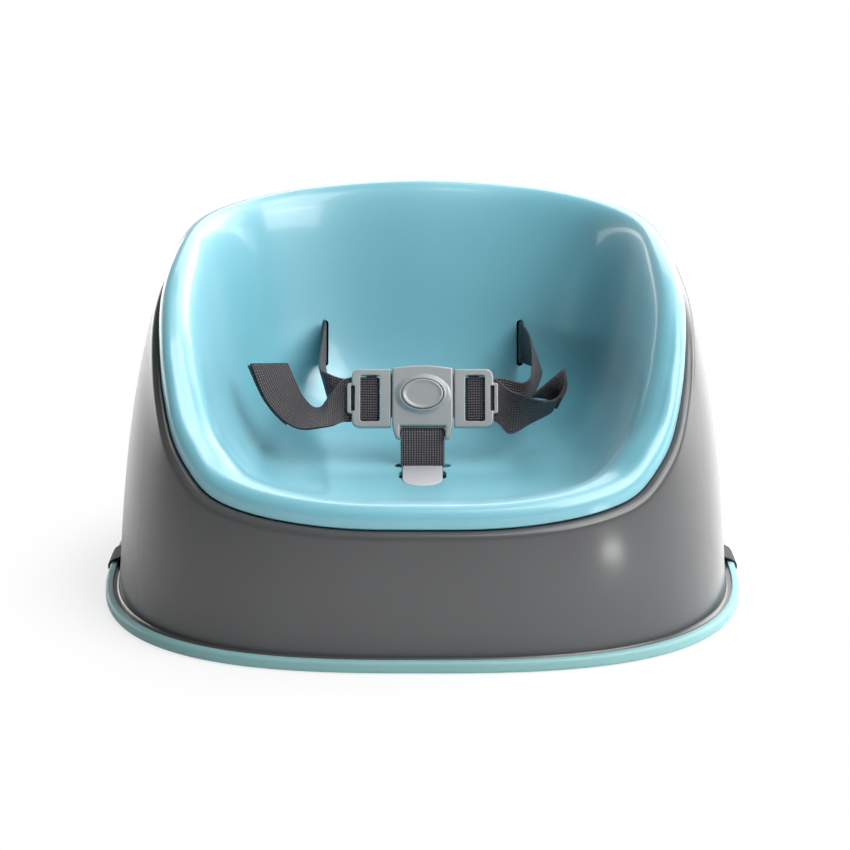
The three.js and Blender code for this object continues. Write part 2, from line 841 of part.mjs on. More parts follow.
function tongue(side) {
  const frame = solidOf(pillow(frameOutline(side), tongueBack, tongueFront, tongueBevel));
  const hoop = sided(
    side,
    tongueFarX - 3,
    hoopFarX,
    hoopHalfHeight,
    tongueFront - outerBarThickness,
    tongueFront - 0.4,
  );
  const behind = tongueFront - outerBarThickness;
  const rodShape = new THREE.Shape([
    ...arc(0, 0, webRodThickness / 2, 90, 270, 6),
    ...arc(webRodLength - webRodThickness, 0, webRodThickness / 2, -90, 90, 6),
  ]);
  const webRod = extrude(rodShape, 2 * webHalf + 2)
    .rotateX(Math.PI / 2)
    .translate(0, webHalf + 1, 0);
  if (side < 0) webRod.rotateY(Math.PI);
  webRod.translate(side * webRodX, 0, webRodMiddle);
  const shank = sided(side, shankNearX, tongueNearX + 2, shankHalfHeight, shankBottom, shankTop);
  const catchSlot = sided(
    side,
    catchNearX,
    catchNearX + catchLength,
    catchHalfHeight,
    shankBottom - 1,
    shankTop + 1,
  );
  return frame
    .add(hoop)
    .subtract(sided(side, windowNearX, windowFarX, webHalf, -bigReach, bigReach))
    .subtract(sided(side, windowNearX, hoopFarX + 1, webHalf, -bigReach, behind))
    .subtract(sided(side, hoopSlotNearX, hoopSlotFarX, hoopSlotHalfHeight, -bigReach, bigReach))
    .add(solidOf(webRod))
    .translate([0, -tongueDrop, 0])
    .add(shank)
    .subtract(catchSlot);
}

place("left_tongue", geometryFrom(tongue(-1)), buckleGrey, 0.35, buckle);
place("right_tongue", geometryFrom(tongue(1)), buckleGrey, 0.35, buckle);

// Webbing that twists and turns: stations of [middle, direction across the web]
function ribbon(stations, width, thickness, stepsEach) {
  const curveOf = (edge) =>
    new THREE.CatmullRomCurve3(
      stations.map(([middle, across]) => middle.clone().addScaledVector(across, (edge * width) / 2)),
      false,
      "centripetal",
    );
  const left = curveOf(-1);
  const right = curveOf(1);
  const count = stepsEach * (stations.length - 1);
  const edges = [];
  for (let i = 0; i <= count; i += 1) edges.push([left.getPoint(i / count), right.getPoint(i / count)]);
  const middles = edges.map(([a, b]) => a.clone().add(b).multiplyScalar(0.5));
  const points = [];
  edges.forEach(([a, b], i) => {
    const along = middles[Math.min(i + 1, count)].clone().sub(middles[Math.max(i - 1, 0)]);
    const out = along.cross(b.clone().sub(a)).normalize();
    for (const [edge, v] of [
      [a, -1],
      [b, -1],
      [b, 1],
      [a, 1],
    ]) {
      points.push(edge.clone().addScaledVector(out, (v * thickness) / 2).toArray());
    }
  });
  const faces = [
    [0, 2, 1],
    [0, 3, 2],
  ];
  for (let i = 0; i < count; i += 1) {
    for (let k = 0; k < 4; k += 1) {
      const a = 4 * i + k;
      const b = 4 * i + ((k + 1) % 4);
      // Front and back split along the same diagonal, so a twisted stretch keeps its thickness.
      if (k === 2) faces.push([a, b, a + 4], [b, b + 4, a + 4]);
      else faces.push([a, b, b + 4], [a, b + 4, a + 4]);
    }
  }
  const end = 4 * count;
  faces.push([end, end + 1, end + 2], [end, end + 2, end + 3]);
  return geometryOf(points, faces);
}

const flatUp = fromBuckle(0, 1, 0).sub(fromBuckle(0, 0, 0)).normalize();
const vector = (x, y, z) => new THREE.Vector3(x, y, z);

// Waist straps by their upper and lower edges, from slot to tongue, then the loose end
const leftRun = [
  [vector(-60.4, 55, 128.6), vector(-59.6, 60, 103.6)],
  [vector(-60.4, 25, 127), vector(-56.5, 30, 102.6)],
  [vector(-60.2, 0, 126.2), vector(-54.5, 8, 102.3)],
  [vector(-58.8, -16, 125.6), vector(-53.5, -12, 102.3)],
  [vector(-54.6, -23.5, 125.4), vector(-51.5, -29, 102.4)],
];
const rightRun = [
  [vector(62.9, 56.7, 131.4), vector(64.7, 63.3, 107.4)],
  [vector(64.1, 31.2, 132.1), vector(71.2, 40.8, 110.2)],
  [vector(64, 0.5, 129.9), vector(69.6, 15.5, 110.7)],
  [vector(63, -18.8, 125.9), vector(66.1, -1.2, 108.6)],
  [vector(61.2, -27.7, 123), vector(62.4, -12.3, 103.2)],
  [vector(56.8, -29.3, 121.2), vector(55.6, -24.7, 97.4)],
];
const leftTail = [
  [vector(-54, -31.8, 113.4), vector(-51.5, -54.2, 102.4)],
  [vector(-57.5, -32, 107.4), vector(-58.7, -56.2, 102.1)],
  [vector(-62.1, -31.1, 107), vector(-66.1, -54.9, 100.6)],
  [vector(-68.6, -25.4, 112.2), vector(-76.2, -46.6, 101.4)],
  [vector(-73.2, -17.2, 119.5), vector(-89.2, -34.8, 111.9)],
  [vector(-78, -7.4, 126.8), vector(-99, -20.6, 130)],
];
const rightTail = [
  [vector(50.6, -36.8, 118.2), vector(48.6, -42.2, 93.9)],
  [vector(54.6, -41.9, 118.3), vector(53.1, -38.1, 93.6)],
  [vector(60.7, -46.4, 117.2), vector(60.5, -31.6, 97)],
  [vector(68.7, -44.8, 114.7), vector(68.8, -25.2, 99.3)],
  [vector(76.3, -40.9, 114.8), vector(76, -20.1, 102.6)],
  [vector(81, -37.3, 119.7), vector(75, -18.7, 107.5)],
  [vector(81.3, -33.9, 125.9), vector(68.6, -22.1, 110)],
  [vector(80.7, -30.3, 129.2), vector(62, -25.7, 113.3)],
];

function fromEdges([upper, lower]) {
  return [upper.clone().lerp(lower, 0.5), upper.clone().sub(lower).normalize()];
}

function waistStrap(side, run, tail, sag) {
  const wallRadius = keeperRadius + fitGap + webThickness / 2;
  const behind = seatWall + fitGap + wallRadius + webThickness;
  const stations = [];
  const wallAt = (x, depth) =>
    slotMiddle.clone().setX(side * x).addScaledVector(slotBack, depth);
  const keeperX = waistSlotX + wallRadius;
  stations.push([wallAt(keeperX + wallRadius, behind - 5), slotUp]);
  for (const p of arc(keeperX, behind, wallRadius, 0, 180, 6)) {
    stations.push([wallAt(p.x, p.y), slotUp]);
  }
  for (const depth of [0, -10]) stations.push([wallAt(waistSlotX, depth), slotUp]);
  stations.push(...run.map(fromEdges));
  for (const x of [46, 36]) stations.push([fromBuckle(side * x, -tongueDrop, backLegZ), flatUp]);
  for (const p of arc(webRodX, 0, legRadius, 270, 90, 6)) {
    stations.push([fromBuckle(side * p.x, -tongueDrop, webRodMiddle + p.y), flatUp]);
  }
  stations.push([fromBuckle(side * 36, -tongueDrop, frontLegZ), flatUp]);
  // The loose end sags a little as it leaves the hoop.
  stations.push([fromBuckle(side * (hoopFarX - 1), -tongueDrop - sag / 4, frontLegZ), flatUp]);
  stations.push([fromBuckle(side * (hoopFarX + 2), -tongueDrop - sag, frontLegZ), flatUp]);
  stations.push(...tail.map(fromEdges));
  return ribbon(stations, webWidth, webThickness, 2);
}

function waistKeeper(side) {
  const wallRadius = keeperRadius + fitGap + webThickness / 2;
  const behind = seatWall + fitGap + wallRadius + webThickness;
  const keeper = rod(keeperRadius, slotLength + 2 * keeperOverhang).rotateX(Math.PI / 2 - slotLean);
  const middle = slotMiddle.clone().setX(side * (waistSlotX + wallRadius));
  middle.addScaledVector(slotBack, behind);
  return keeper.translate(middle.x, middle.y, middle.z);
}

place("left_waist_strap", waistStrap(-1, leftRun, leftTail, 0.8), webBrown, 0.9);
place("right_waist_strap", waistStrap(1, rightRun, rightTail, 3.6), webBrown, 0.9);
place("left_waist_keeper", waistKeeper(-1), rodGrey, 0.5);
place("right_waist_keeper", waistKeeper(1), rodGrey, 0.5);

// Crotch strap: one sewn loop from the lug rod down through the slot to its keeper
const lugRodAt = fromBuckle(0, lugRodY, -halfBuckle + lugRodRadius + lugRodBack);
const lugLoop = lugRodRadius + fitGap + webThickness / 2;
const keeperLoop = keeperRadius + fitGap + webThickness / 2;
const panUnder = panMiddleZ - seatWall;
const crotchKeeperZ = panUnder - fitGap - webThickness / 2 - keeperLoop;
const legSpread = webThickness / 2 + fitGap;
const crotchLine = [
  ...arc(lugRodAt.y, lugRodAt.z, lugLoop, 0, 180, 8),
  new THREE.Vector2(crotchSlotY - legSpread, panHeight),
  new THREE.Vector2(crotchSlotY - legSpread, panUnder),
  ...arc(crotchSlotY, crotchKeeperZ, keeperLoop, 150, 390, 10),
  new THREE.Vector2(crotchSlotY + legSpread, panUnder),
  new THREE.Vector2(crotchSlotY + legSpread, panHeight),
];
const crotchStrap = extrude(bandShape(crotchLine, webThickness), webWidth);
const turnToX = new THREE.Matrix4().makeBasis(vector(0, 1, 0), vector(0, 0, 1), vector(1, 0, 0));
crotchStrap.applyMatrix4(turnToX).translate(-webWidth / 2, 0, 0);
place("crotch_strap", crotchStrap, webBrown, 0.9);

const crotchKeeper = rod(keeperRadius, crotchSlotLength + 2 * keeperOverhang).rotateZ(Math.PI / 2);
place("crotch_keeper", crotchKeeper.translate(0, crotchSlotY, crotchKeeperZ), rodGrey, 0.5);

// Tab with a hook that reaches through the opening and under the pan
const tabPlate = solidOf(pillow(tabOutline(0), tabBottom, tabTop, 0.3));
const hookFront = tabBack - tabOpeningSetback - tabOpeningLength + fitGap;
const hookHalf = tabHookWidth / 2;
const hookLow = panUnder - fitGap - tabHookThickness;
const tabHook = box(
  [-hookHalf, hookFront, hookLow],
  [hookHalf, hookFront + tabHookThickness, tabBottom + tabThickness / 2],
);
const tabLip = box(
  [-hookHalf, hookFront - tabHookReach, hookLow],
  [hookHalf, hookFront + tabHookThickness, panUnder - fitGap],
);
const tab = tabPlate.add(solidOf(tabHook)).add(solidOf(tabLip));
place("crotch_tab", geometryFrom(tab), tabGrey, 0.35);

// Chair straps: from a rod inside the wall, out through the slot, round the ring and under the seat
const slotRun = baseHalfWidth - leanAt(chairSlotZ);
const chairLoop = chairRodRadius + fitGap + webThickness / 2;
const chairRodX = slotRun - baseWall - chairLoop - 1;
const ringOuter = baseHalfWidth + ringReach;
const strapSkin = fitGap + webThickness / 2;
const underZ = fitGap + webThickness / 2 + 0.15;
const wrap = [
  [ringOuter - 5.2, ringHeight + strapSkin + 1.4],
  [ringOuter - 2.2, ringHeight + strapSkin + 0.2],
  [ringOuter - 0.4, ringHeight + strapSkin - 0.8],
  [ringOuter + strapSkin, ringHeight * 0.7],
  [ringOuter + strapSkin + 0.1, ringHeight * 0.4],
  [ringOuter + 0.1, underZ + 0.3],
  [ringOuter - 2, underZ],
  [ringOuter - 14, underZ],
  [ringOuter - 32, underZ + 1],
];
const anchorEnd = [
  new THREE.Vector2(chairRodX + 2.4, chairSlotZ - 2 * chairLoop),
  ...arc(chairRodX, chairSlotZ - chairLoop, chairLoop, 270, 90, 8),
];
const lieX = 120;
const rodLoop = chairRodThickness / 2 + fitGap + webThickness / 2;
const splitX = 16;

function chairStrap(side, rodX, looseLength) {
  const inner = Math.abs(rodX);
  const line = [
    ...anchorEnd,
    new THREE.Vector2(slotRun, chairSlotZ),
    ...wrap.map(([x, z]) => new THREE.Vector2(x, z)),
    new THREE.Vector2(lieX, chairStrapZ),
    new THREE.Vector2(inner + splitX + looseLength / 2, chairStrapZ + legSpread),
    new THREE.Vector2(inner + splitX, chairStrapZ + legSpread),
    ...arc(inner, chairStrapZ, rodLoop, 90, 270, 8),
    new THREE.Vector2(inner + splitX, chairStrapZ - legSpread),
    new THREE.Vector2(inner + splitX + looseLength, chairStrapZ - legSpread - 1),
  ];
  const strap = extrude(ribbonShape(line, webThickness), webWidth).rotateX(Math.PI / 2);
  if (side < 0) return strap.translate(0, webWidth / 2, 0).rotateZ(Math.PI);
  return strap.translate(0, webWidth / 2, 0);
}

place("left_chair_strap", chairStrap(-1, socketRodX, 12), webBrown, 0.9);
place("right_chair_strap", chairStrap(1, plugRodX, 70), webBrown, 0.9);
for (const [name, side] of [
  ["left_chair_rod", -1],
  ["right_chair_rod", 1],
]) {
  const chairRod = rod(chairRodRadius, slotLength + 2 * keeperOverhang);
  place(name, chairRod.translate(side * chairRodX, 0, chairSlotZ - chairLoop), rodGrey, 0.5);
}

// Side-release buckle that joins the chair straps
const halfSocket = socketThickness / 2;
const bite = 3;
const armMouth = armLength + 2;
const socketBody = solidOf(
  pillow(
    new THREE.Shape([
      new THREE.Vector2(socketFarX, -socketHalfWidth + bite),
      new THREE.Vector2(socketFarX + bite, -socketHalfWidth),
      new THREE.Vector2(socketNearX, -socketHalfWidth),
      new THREE.Vector2(socketNearX, socketHalfWidth),
      new THREE.Vector2(socketFarX + bite, socketHalfWidth),
      new THREE.Vector2(socketFarX, socketHalfWidth - bite),
    ]),
    chairStrapZ - halfSocket,
    chairStrapZ + halfSocket,
    1,
  ),
);
const socketInner = socketHalfWidth - socketWall;
const armCavity = box(
  [socketNearX - armMouth, -socketInner, chairStrapZ - halfSocket + socketWall],
  [socketNearX + 1, socketInner, chairStrapZ + halfSocket - socketWall],
);
const sideWindows = box(
  [socketNearX - armMouth + 4, -socketHalfWidth - 1, chairStrapZ - armThickness / 2 - 0.4],
  [socketNearX - armMouth + 15, socketHalfWidth + 1, chairStrapZ + armThickness / 2 + 0.4],
);
const strapGate = box(
  [socketFarX - 1, -webHalf - fitGap, chairStrapZ - halfSocket - 1],
  [socketNearX - armMouth - socketWall, webHalf + fitGap, chairStrapZ + halfSocket + 1],
);
const socketRod = rod(chairRodThickness / 2, 2 * webHalf + 3, 12).translate(socketRodX, 0, chairStrapZ);
const socket = socketBody
  .subtract(solidOf(armCavity))
  .subtract(solidOf(sideWindows))
  .subtract(solidOf(strapGate))
  .add(solidOf(socketRod));
place("chair_buckle_socket", geometryFrom(socket), buckleGrey, 0.4);

const plugBody = solidOf(
  pillow(
    new THREE.Shape([
      new THREE.Vector2(plugNearX, -socketHalfWidth),
      new THREE.Vector2(plugFarX - bite, -socketHalfWidth),
      new THREE.Vector2(plugFarX, -socketHalfWidth + bite),
      new THREE.Vector2(plugFarX, socketHalfWidth - bite),
      new THREE.Vector2(plugFarX - bite, socketHalfWidth),
      new THREE.Vector2(plugNearX, socketHalfWidth),
    ]),
    chairStrapZ - halfSocket + 0.5,
    chairStrapZ + halfSocket - 0.5,
    1,
  ),
);
const plugGate = box(
  [plugNearX + 4.5, -webHalf - fitGap, chairStrapZ - halfSocket - 1],
  [plugFarX + 1, webHalf + fitGap, chairStrapZ + halfSocket + 1],
);
const plugRod = rod(chairRodThickness / 2, 2 * webHalf + 3, 12).translate(plugRodX, 0, chairStrapZ);
let plug = plugBody.subtract(solidOf(plugGate)).add(solidOf(plugRod));
const guide = box(
  [plugNearX - armLength + 3, -guideWidth / 2, chairStrapZ - armThickness / 2],
  [plugNearX + 2, guideWidth / 2, chairStrapZ + armThickness / 2],
);
plug = plug.add(solidOf(guide));
for (const side of [-1, 1]) {
  const outer = side * (socketInner - fitGap);
  const inner = outer - side * armWidth;
  const arm = new THREE.Shape([
    new THREE.Vector2(plugNearX + 2, inner - side * 2),
    new THREE.Vector2(plugNearX + 2, outer - side * 2),
    new THREE.Vector2(plugNearX - armLength + 8, outer - side * 1),
    new THREE.Vector2(plugNearX - armLength + 6, outer),
    new THREE.Vector2(plugNearX - armLength + 1, outer - side * 0.6),
    new THREE.Vector2(plugNearX - armLength, outer - side * 3),
    new THREE.Vector2(plugNearX - armLength + 4, inner - side * 0.6),
  ]);
  plug = plug.add(solidOf(extrude(arm, armThickness).translate(0, 0, chairStrapZ - armThickness / 2)));
}
place("chair_buckle_plug", geometryFrom(plug), buckleGrey, 0.4);

export default part;
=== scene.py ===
import math

import bmesh
import bpy
import numpy as np
from mathutils import Matrix, Vector


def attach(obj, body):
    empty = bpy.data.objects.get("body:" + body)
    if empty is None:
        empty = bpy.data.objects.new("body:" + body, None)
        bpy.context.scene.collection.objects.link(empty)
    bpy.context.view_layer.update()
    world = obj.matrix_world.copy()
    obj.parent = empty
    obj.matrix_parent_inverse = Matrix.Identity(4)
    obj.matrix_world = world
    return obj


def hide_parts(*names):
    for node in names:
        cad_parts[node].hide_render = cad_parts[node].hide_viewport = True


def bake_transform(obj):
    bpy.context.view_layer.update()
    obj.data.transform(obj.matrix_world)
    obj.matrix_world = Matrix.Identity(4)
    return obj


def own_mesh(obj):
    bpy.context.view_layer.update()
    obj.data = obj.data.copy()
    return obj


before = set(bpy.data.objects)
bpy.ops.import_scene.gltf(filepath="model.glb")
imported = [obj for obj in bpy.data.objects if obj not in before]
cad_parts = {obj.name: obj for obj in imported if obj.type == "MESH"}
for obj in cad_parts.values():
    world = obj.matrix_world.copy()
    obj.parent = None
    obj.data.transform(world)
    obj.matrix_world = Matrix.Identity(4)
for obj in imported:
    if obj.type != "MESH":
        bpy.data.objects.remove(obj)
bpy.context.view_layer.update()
scene = bpy.context.scene
print("frame loaded")

# Sizes of pieces are in millimetres, and turn to metres where a mesh is made.
mm = 0.001
# Clearance between pieces, and how far small and large cutters run past what they cut
gap = 0.3
cutNear, cutFar = 20, 40


def tidyMesh(obj, sharpAngle=40):
    obj.data.polygons.foreach_set("use_smooth", [True] * len(obj.data.polygons))
    obj.data.set_sharp_from_angle(angle=math.radians(sharpAngle))
    return obj


def added(name, data):
    obj = bpy.data.objects.new(name, data)
    scene.collection.objects.link(obj)
    return obj


def newObject(name, points, edges, faces):
    mesh = bpy.data.meshes.new(name)
    mesh.from_pydata((np.asarray(points, float) * mm).tolist(), edges, faces)
    mesh.validate()
    return added(name, mesh)


def newPiece(name, points, faces, sharpAngle=40):
    return tidyMesh(newObject(name, points, [], faces), sharpAngle)


def bake(obj, sharpAngle=40):
    bpy.context.view_layer.update()
    graph = bpy.context.evaluated_depsgraph_get()
    mesh = bpy.data.meshes.new_from_object(obj.evaluated_get(graph))
    obj.modifiers.clear()
    obj.data = mesh
    return tidyMesh(obj, sharpAngle)


def combine(obj, others, operation, sharpAngle=40):
    for other in others:
        modifier = obj.modifiers.new("combine", "BOOLEAN")
        modifier.operation = operation
        modifier.solver = "EXACT"
        modifier.object = other
    bake(obj, sharpAngle)
    for other in others:
        bpy.data.objects.remove(other, do_unlink=True)
    return obj


def softened(obj, voxel, rounds):
    remesh = obj.modifiers.new("remesh", "REMESH")
    remesh.mode = "VOXEL"
    remesh.voxel_size = voxel * mm
    smooth = obj.modifiers.new("smooth", "SMOOTH")
    smooth.factor = 0.5
    smooth.iterations = rounds
    return bake(obj, 60)


def editedMesh(mesh, edit):
    bm = bmesh.new()
    bm.from_mesh(mesh)
    edit(bm)
    bm.to_mesh(mesh)
    bm.free()


def painted(obj, made):
    obj.data.materials.clear()
    obj.data.materials.append(made)
    return obj


def unit(vectors):
    lengths = np.linalg.norm(vectors, axis=-1, keepdims=True)
    return vectors / np.where(lengths == 0, 1, lengths)


def bezierAt(t, *points):
    last = len(points) - 1
    return sum(
        math.comb(last, i) * (1 - t) ** (last - i) * t**i * np.asarray(point, float) for i, point in enumerate(points)
    )


def arc(x, y, radius, start, end, steps):
    turns = [math.radians(start + (end - start) * i / steps) for i in range(steps + 1)]
    return [(x + radius * math.cos(turn), y + radius * math.sin(turn)) for turn in turns]


def circle(radius, sides=32):
    turns = [2 * math.pi * i / sides for i in range(sides)]
    return [(radius * math.cos(turn), radius * math.sin(turn)) for turn in turns]


def gridFaces(rows, count, closed=False, start=0):
    faces = []
    for i in range(rows if closed else rows - 1):
        a, b = start + i * count, start + (i + 1) % rows * count
        for j in range(count):
            k = (j + 1) % count
            faces.append((a + j, b + j, b + k, a + k))
    return faces


def loftRings(rings, name="form"):
    rings = np.asarray(rings, float)
    levels, count = rings.shape[:2]
    faces = [(a, d, c, b) for a, b, c, d in gridFaces(levels, count)]
    faces.append(tuple(reversed(range(count))))
    faces.append(tuple((levels - 1) * count + j for j in range(count)))
    return newPiece(name, rings.reshape(-1, 3), faces)


def block(low, high):
    (x0, y0, z0), (x1, y1, z1) = low, high
    return loftRings([[(x0, y0, z), (x1, y0, z), (x1, y1, z), (x0, y1, z)] for z in (z0, z1)])


def pillar(x, y, low, high, radius):
    return loftRings([[(x + a, y + b, z) for a, b in circle(radius)] for z in (low, high)])


# A loop of points with each corner rounded by its radius
def rounded(points, radii, steps):
    points = np.array(points, float)
    line = []
    for here, before, after, radius in zip(points, np.roll(points, 1, axis=0), np.roll(points, -1, axis=0), radii):
        if radius <= 0:
            line.append(here)
            continue
        before, after = before - here, after - here
        beforeLength, afterLength = np.linalg.norm(before), np.linalg.norm(after)
        cut = min(radius, 0.48 * beforeLength, 0.48 * afterLength)
        start, end = here + before / beforeLength * cut, here + after / afterLength * cut
        line += [bezierAt(step / steps, start, here, end) for step in range(steps + 1)]
    return line


# A flat form over an outline, whose edges round inwards where a rounding is given
def prism(line, low, high, rounding=0.0, name="form"):
    line = np.array(line, float)
    before = unit(line - np.roll(line, 1, axis=0))
    after = np.roll(before, -1, axis=0)
    # Each corner moves in along the line that halves its two sides.
    inward = unit((before + after)[:, ::-1] * (-1, 1))
    halfCosine = np.sqrt(np.maximum(0, (1 + (before * after).sum(axis=1, keepdims=True)) / 2))
    inward /= np.maximum(0.5, halfCosine)
    levels = [(low, 0), (high, 0)]
    if rounding:
        steps = 4
        turns = [math.pi / 2 * i / steps for i in range(steps + 1)]
        edge = [(rounding * (1 - math.sin(turn)), rounding * (1 - math.cos(turn))) for turn in turns]
        levels = [(low + z, inset) for z, inset in edge[::-1]] + [(high - z, inset) for z, inset in edge]
    return loftRings([[(x, y, z) for x, y in line + inward * inset] for z, inset in levels], name)


# Adds nodes to a tree: a pair is a socket with its value or link, a keyword is a setting of the node.
def adder(tree):
    def add(kind, *links, **settings):
        made = tree.nodes.new(kind)
        for name, value in settings.items():
            setattr(made, name, value)
        for socket, value in links:
            if isinstance(value, bpy.types.NodeSocket):
                tree.links.new(value, made.inputs[socket])
            else:
                made.inputs[socket].default_value = value
        return made.outputs

    def sums(operation, *values):
        return add("ShaderNodeMath", *enumerate(values), operation=operation)[0]

    return add, sums


# Geometry Nodes: each tree has its sizes as named inputs and ends in Realize Instances and Set Material.
def nodeTree(name, sizes):
    tree = bpy.data.node_groups.new(name, "GeometryNodeTree")
    tree.is_modifier = True
    for way in ("INPUT", "OUTPUT"):
        tree.interface.new_socket("Geometry", in_out=way, socket_type="NodeSocketGeometry")
    for label, size in sizes.items():
        kind = "NodeSocketInt" if isinstance(size, int) else "NodeSocketFloat"
        tree.interface.new_socket(label, in_out="INPUT", socket_type=kind).default_value = size
    add, sums = adder(tree)

    def finish(geometry, made):
        whole = add("GeometryNodeRealizeInstances", ("Geometry", geometry))[0]
        dressed = add("GeometryNodeSetMaterial", ("Geometry", whole), ("Material", made))[0]
        tree.links.new(dressed, tree.nodes.new("NodeGroupOutput").inputs[0])
        return tree

    return tree.nodes.new("NodeGroupInput").outputs, add, sums, finish


def grow(obj, tree, sizes, sharpAngle=40):
    modifier = obj.modifiers.new(tree.name, "NODES")
    modifier.node_group = tree
    for item in tree.interface.items_tree:
        if item.in_out == "INPUT" and item.name in sizes:
            modifier[item.identifier] = sizes[item.name]
    return bake(obj, sharpAngle)


# Materials
def material(name, color, settings):
    made = bpy.data.materials.new(name)
    made.use_nodes = True
    tree = made.node_tree
    shader = tree.nodes["Principled BSDF"]
    shader.inputs["Base Color"].default_value = (*color, 1)
    for label, value in settings.items():
        shader.inputs[label].default_value = value

    def feed(label, value):
        tree.links.new(value, shader.inputs[label])

    return made, *adder(tree), feed


def objectNoise(add, scale, detail, roughness=0.5):
    coords = add("ShaderNodeTexCoord")["Object"]
    sizes = ("Scale", scale), ("Detail", detail), ("Roughness", roughness)
    return add("ShaderNodeTexNoise", ("Vector", coords), *sizes)["Fac"]


def ramped(add, value, low, high, start=0.3, end=0.7):
    color = add("ShaderNodeValToRGB", ("Fac", value))["Color"]
    for stop, position, tone in zip(color.node.color_ramp.elements, (start, end), (low, high)):
        stop.position, stop.color = position, (*tone, 1)
    return color


def bumped(add, height, strength, distance):
    return add("ShaderNodeBump", ("Height", height), ("Strength", strength), ("Distance", distance))["Normal"]


def plastic(name, low, high, rough, grain, grainStrength, settings={}):
    made, add, _, feed = material(name, high, {"Roughness": rough[0], **settings})
    feed("Base Color", ramped(add, objectNoise(add, 14, 4), low, high))
    worn = ("Value", objectNoise(add, 60, 5, 0.6)), ("To Min", rough[0]), ("To Max", rough[1])
    feed("Roughness", add("ShaderNodeMapRange", *worn)["Result"])
    feed("Normal", bumped(add, objectNoise(add, grain, 2), grainStrength, 0.0001))
    return made


seatMaterial = plastic(
    "seatPlastic", (0.162, 0.45, 0.54), (0.174, 0.47, 0.56), (0.38, 0.44), 900, 0.03,
    {
        "Specular IOR Level": 0.9, "Coat Weight": 0.5, "Coat Roughness": 0.1,
        "Sheen Weight": 0.3, "Sheen Roughness": 0.35,
    },
)
baseMaterial = plastic(
    "basePlastic", (0.069, 0.07, 0.073), (0.075, 0.077, 0.079), (0.25, 0.28), 2600, 0.08,
    {"Coat Weight": 0.2, "Coat Roughness": 0.2},
)
ringMaterial = plastic("ringRubber", (0.23, 0.445, 0.45), (0.25, 0.475, 0.48), (0.45, 0.58), 1800, 0.15)
buckleMaterial = plastic(
    "bucklePlastic", (0.305, 0.315, 0.318), (0.335, 0.345, 0.348), (0.3, 0.38), 3200, 0.12,
    {"Coat Weight": 0.6, "Coat Roughness": 0.12},
)
tabMaterial = plastic("tabPlastic", (0.5, 0.5, 0.53), (0.55, 0.55, 0.58), (0.3, 0.4), 3200, 0.1)
rodMaterial = plastic("rodPlastic", (0.09, 0.1, 0.11), (0.11, 0.12, 0.13), (0.4, 0.5), 3200, 0.1)
steelMaterial = plastic("steel", (0.5, 0.52, 0.54), (0.58, 0.6, 0.62), (0.25, 0.35), 4000, 0.08, {"Metallic": 1})

weave = {"ribs": 17, "picks": 17.5, "pickShare": 0.65, "strength": 0.9, "depth": 0.0008, "fleckStretch": (22, 9, 1)}


def webMaterial(name, gapShadeColor, yarnColor):
    sheen = {"Roughness": 0.7, "Sheen Weight": 0.12, "Sheen Roughness": 0.4}
    made, add, sums, feed = material(name, (0.075, 0.068, 0.078), sheen)
    uv = add("ShaderNodeUVMap", uv_map="weave")["UV"]
    across, along = add("ShaderNodeSeparateXYZ", ("Vector", uv))[:2]
    # Ribs run along the web and picks across it, both about 1.45 mm apart.
    rib, pick = [
        sums("ABSOLUTE", sums("SINE", sums("MULTIPLY", way, count * math.pi)))
        for way, count in ((across, weave["ribs"]), (along, weave["picks"]))
    ]
    height = sums("MULTIPLY", rib, sums("MULTIPLY_ADD", pick, weave["pickShare"], 1 - weave["pickShare"]))
    feed("Normal", bumped(add, height, weave["strength"], weave["depth"]))
    stretched = add("ShaderNodeMapping", ("Vector", uv), ("Scale", weave["fleckStretch"]))["Vector"]
    sizes = ("Scale", 3.0), ("Detail", 4.0), ("Roughness", 0.7)
    fleck = add("ShaderNodeTexNoise", ("Vector", stretched), *sizes)["Fac"]
    # The colour darkens from the yarn tops into the gaps between ribs and picks: painted shade of the weave, with
    # random flecks of yarn tone.
    tone = sums("MULTIPLY_ADD", fleck, 0.35, sums("MULTIPLY", height, 0.9))
    feed("Base Color", ramped(add, tone, gapShadeColor, yarnColor, 0.38, 1.0))
    return made


webbing = webMaterial("webbing", (0.01, 0.01, 0.013), (0.1, 0.083, 0.093))
# The crotch strap's webbing is a lighter copy of the same webbing: painted light, making up for the buckle's shade on
# it.
paintedLitWebbing = webMaterial("paintedLitWebbing", (0.016, 0.015, 0.017), (0.23, 0.185, 0.2))
thread, add, _, feed = material("thread", (0.06, 0.057, 0.065), {"Roughness": 0.6})
feed("Base Color", ramped(add, objectNoise(add, 3000, 2), (0.045, 0.043, 0.05), (0.085, 0.08, 0.09)))

# The five hidden rods show their solids.
for name in ("crotch_keeper", "left_waist_keeper", "right_waist_keeper", "left_chair_rod", "right_chair_rod"):
    painted(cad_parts[name], rodMaterial)
print("materials made")

# Outline of the grey wall, its lean and the seam between the shells
outline = {
    "halfWidth": 177.6, "halfDepth": 161.5, "fullness": 2.8, "leanHeight": 212, "leanIn": 42.3,
    "straightShare": 0.376, "backShare": 0.9, "columns": 288,
}
seamLine = [
    (0, 74), (15, 74.4), (27, 77), (36, 81), (42, 86.5), (47, 97), (51.5, 109), (57, 129),
    (64, 150.5), (72, 165), (82, 176), (94, 183.5), (108, 188), (128, 192.3), (150, 197.3), (180, 200.5),
]


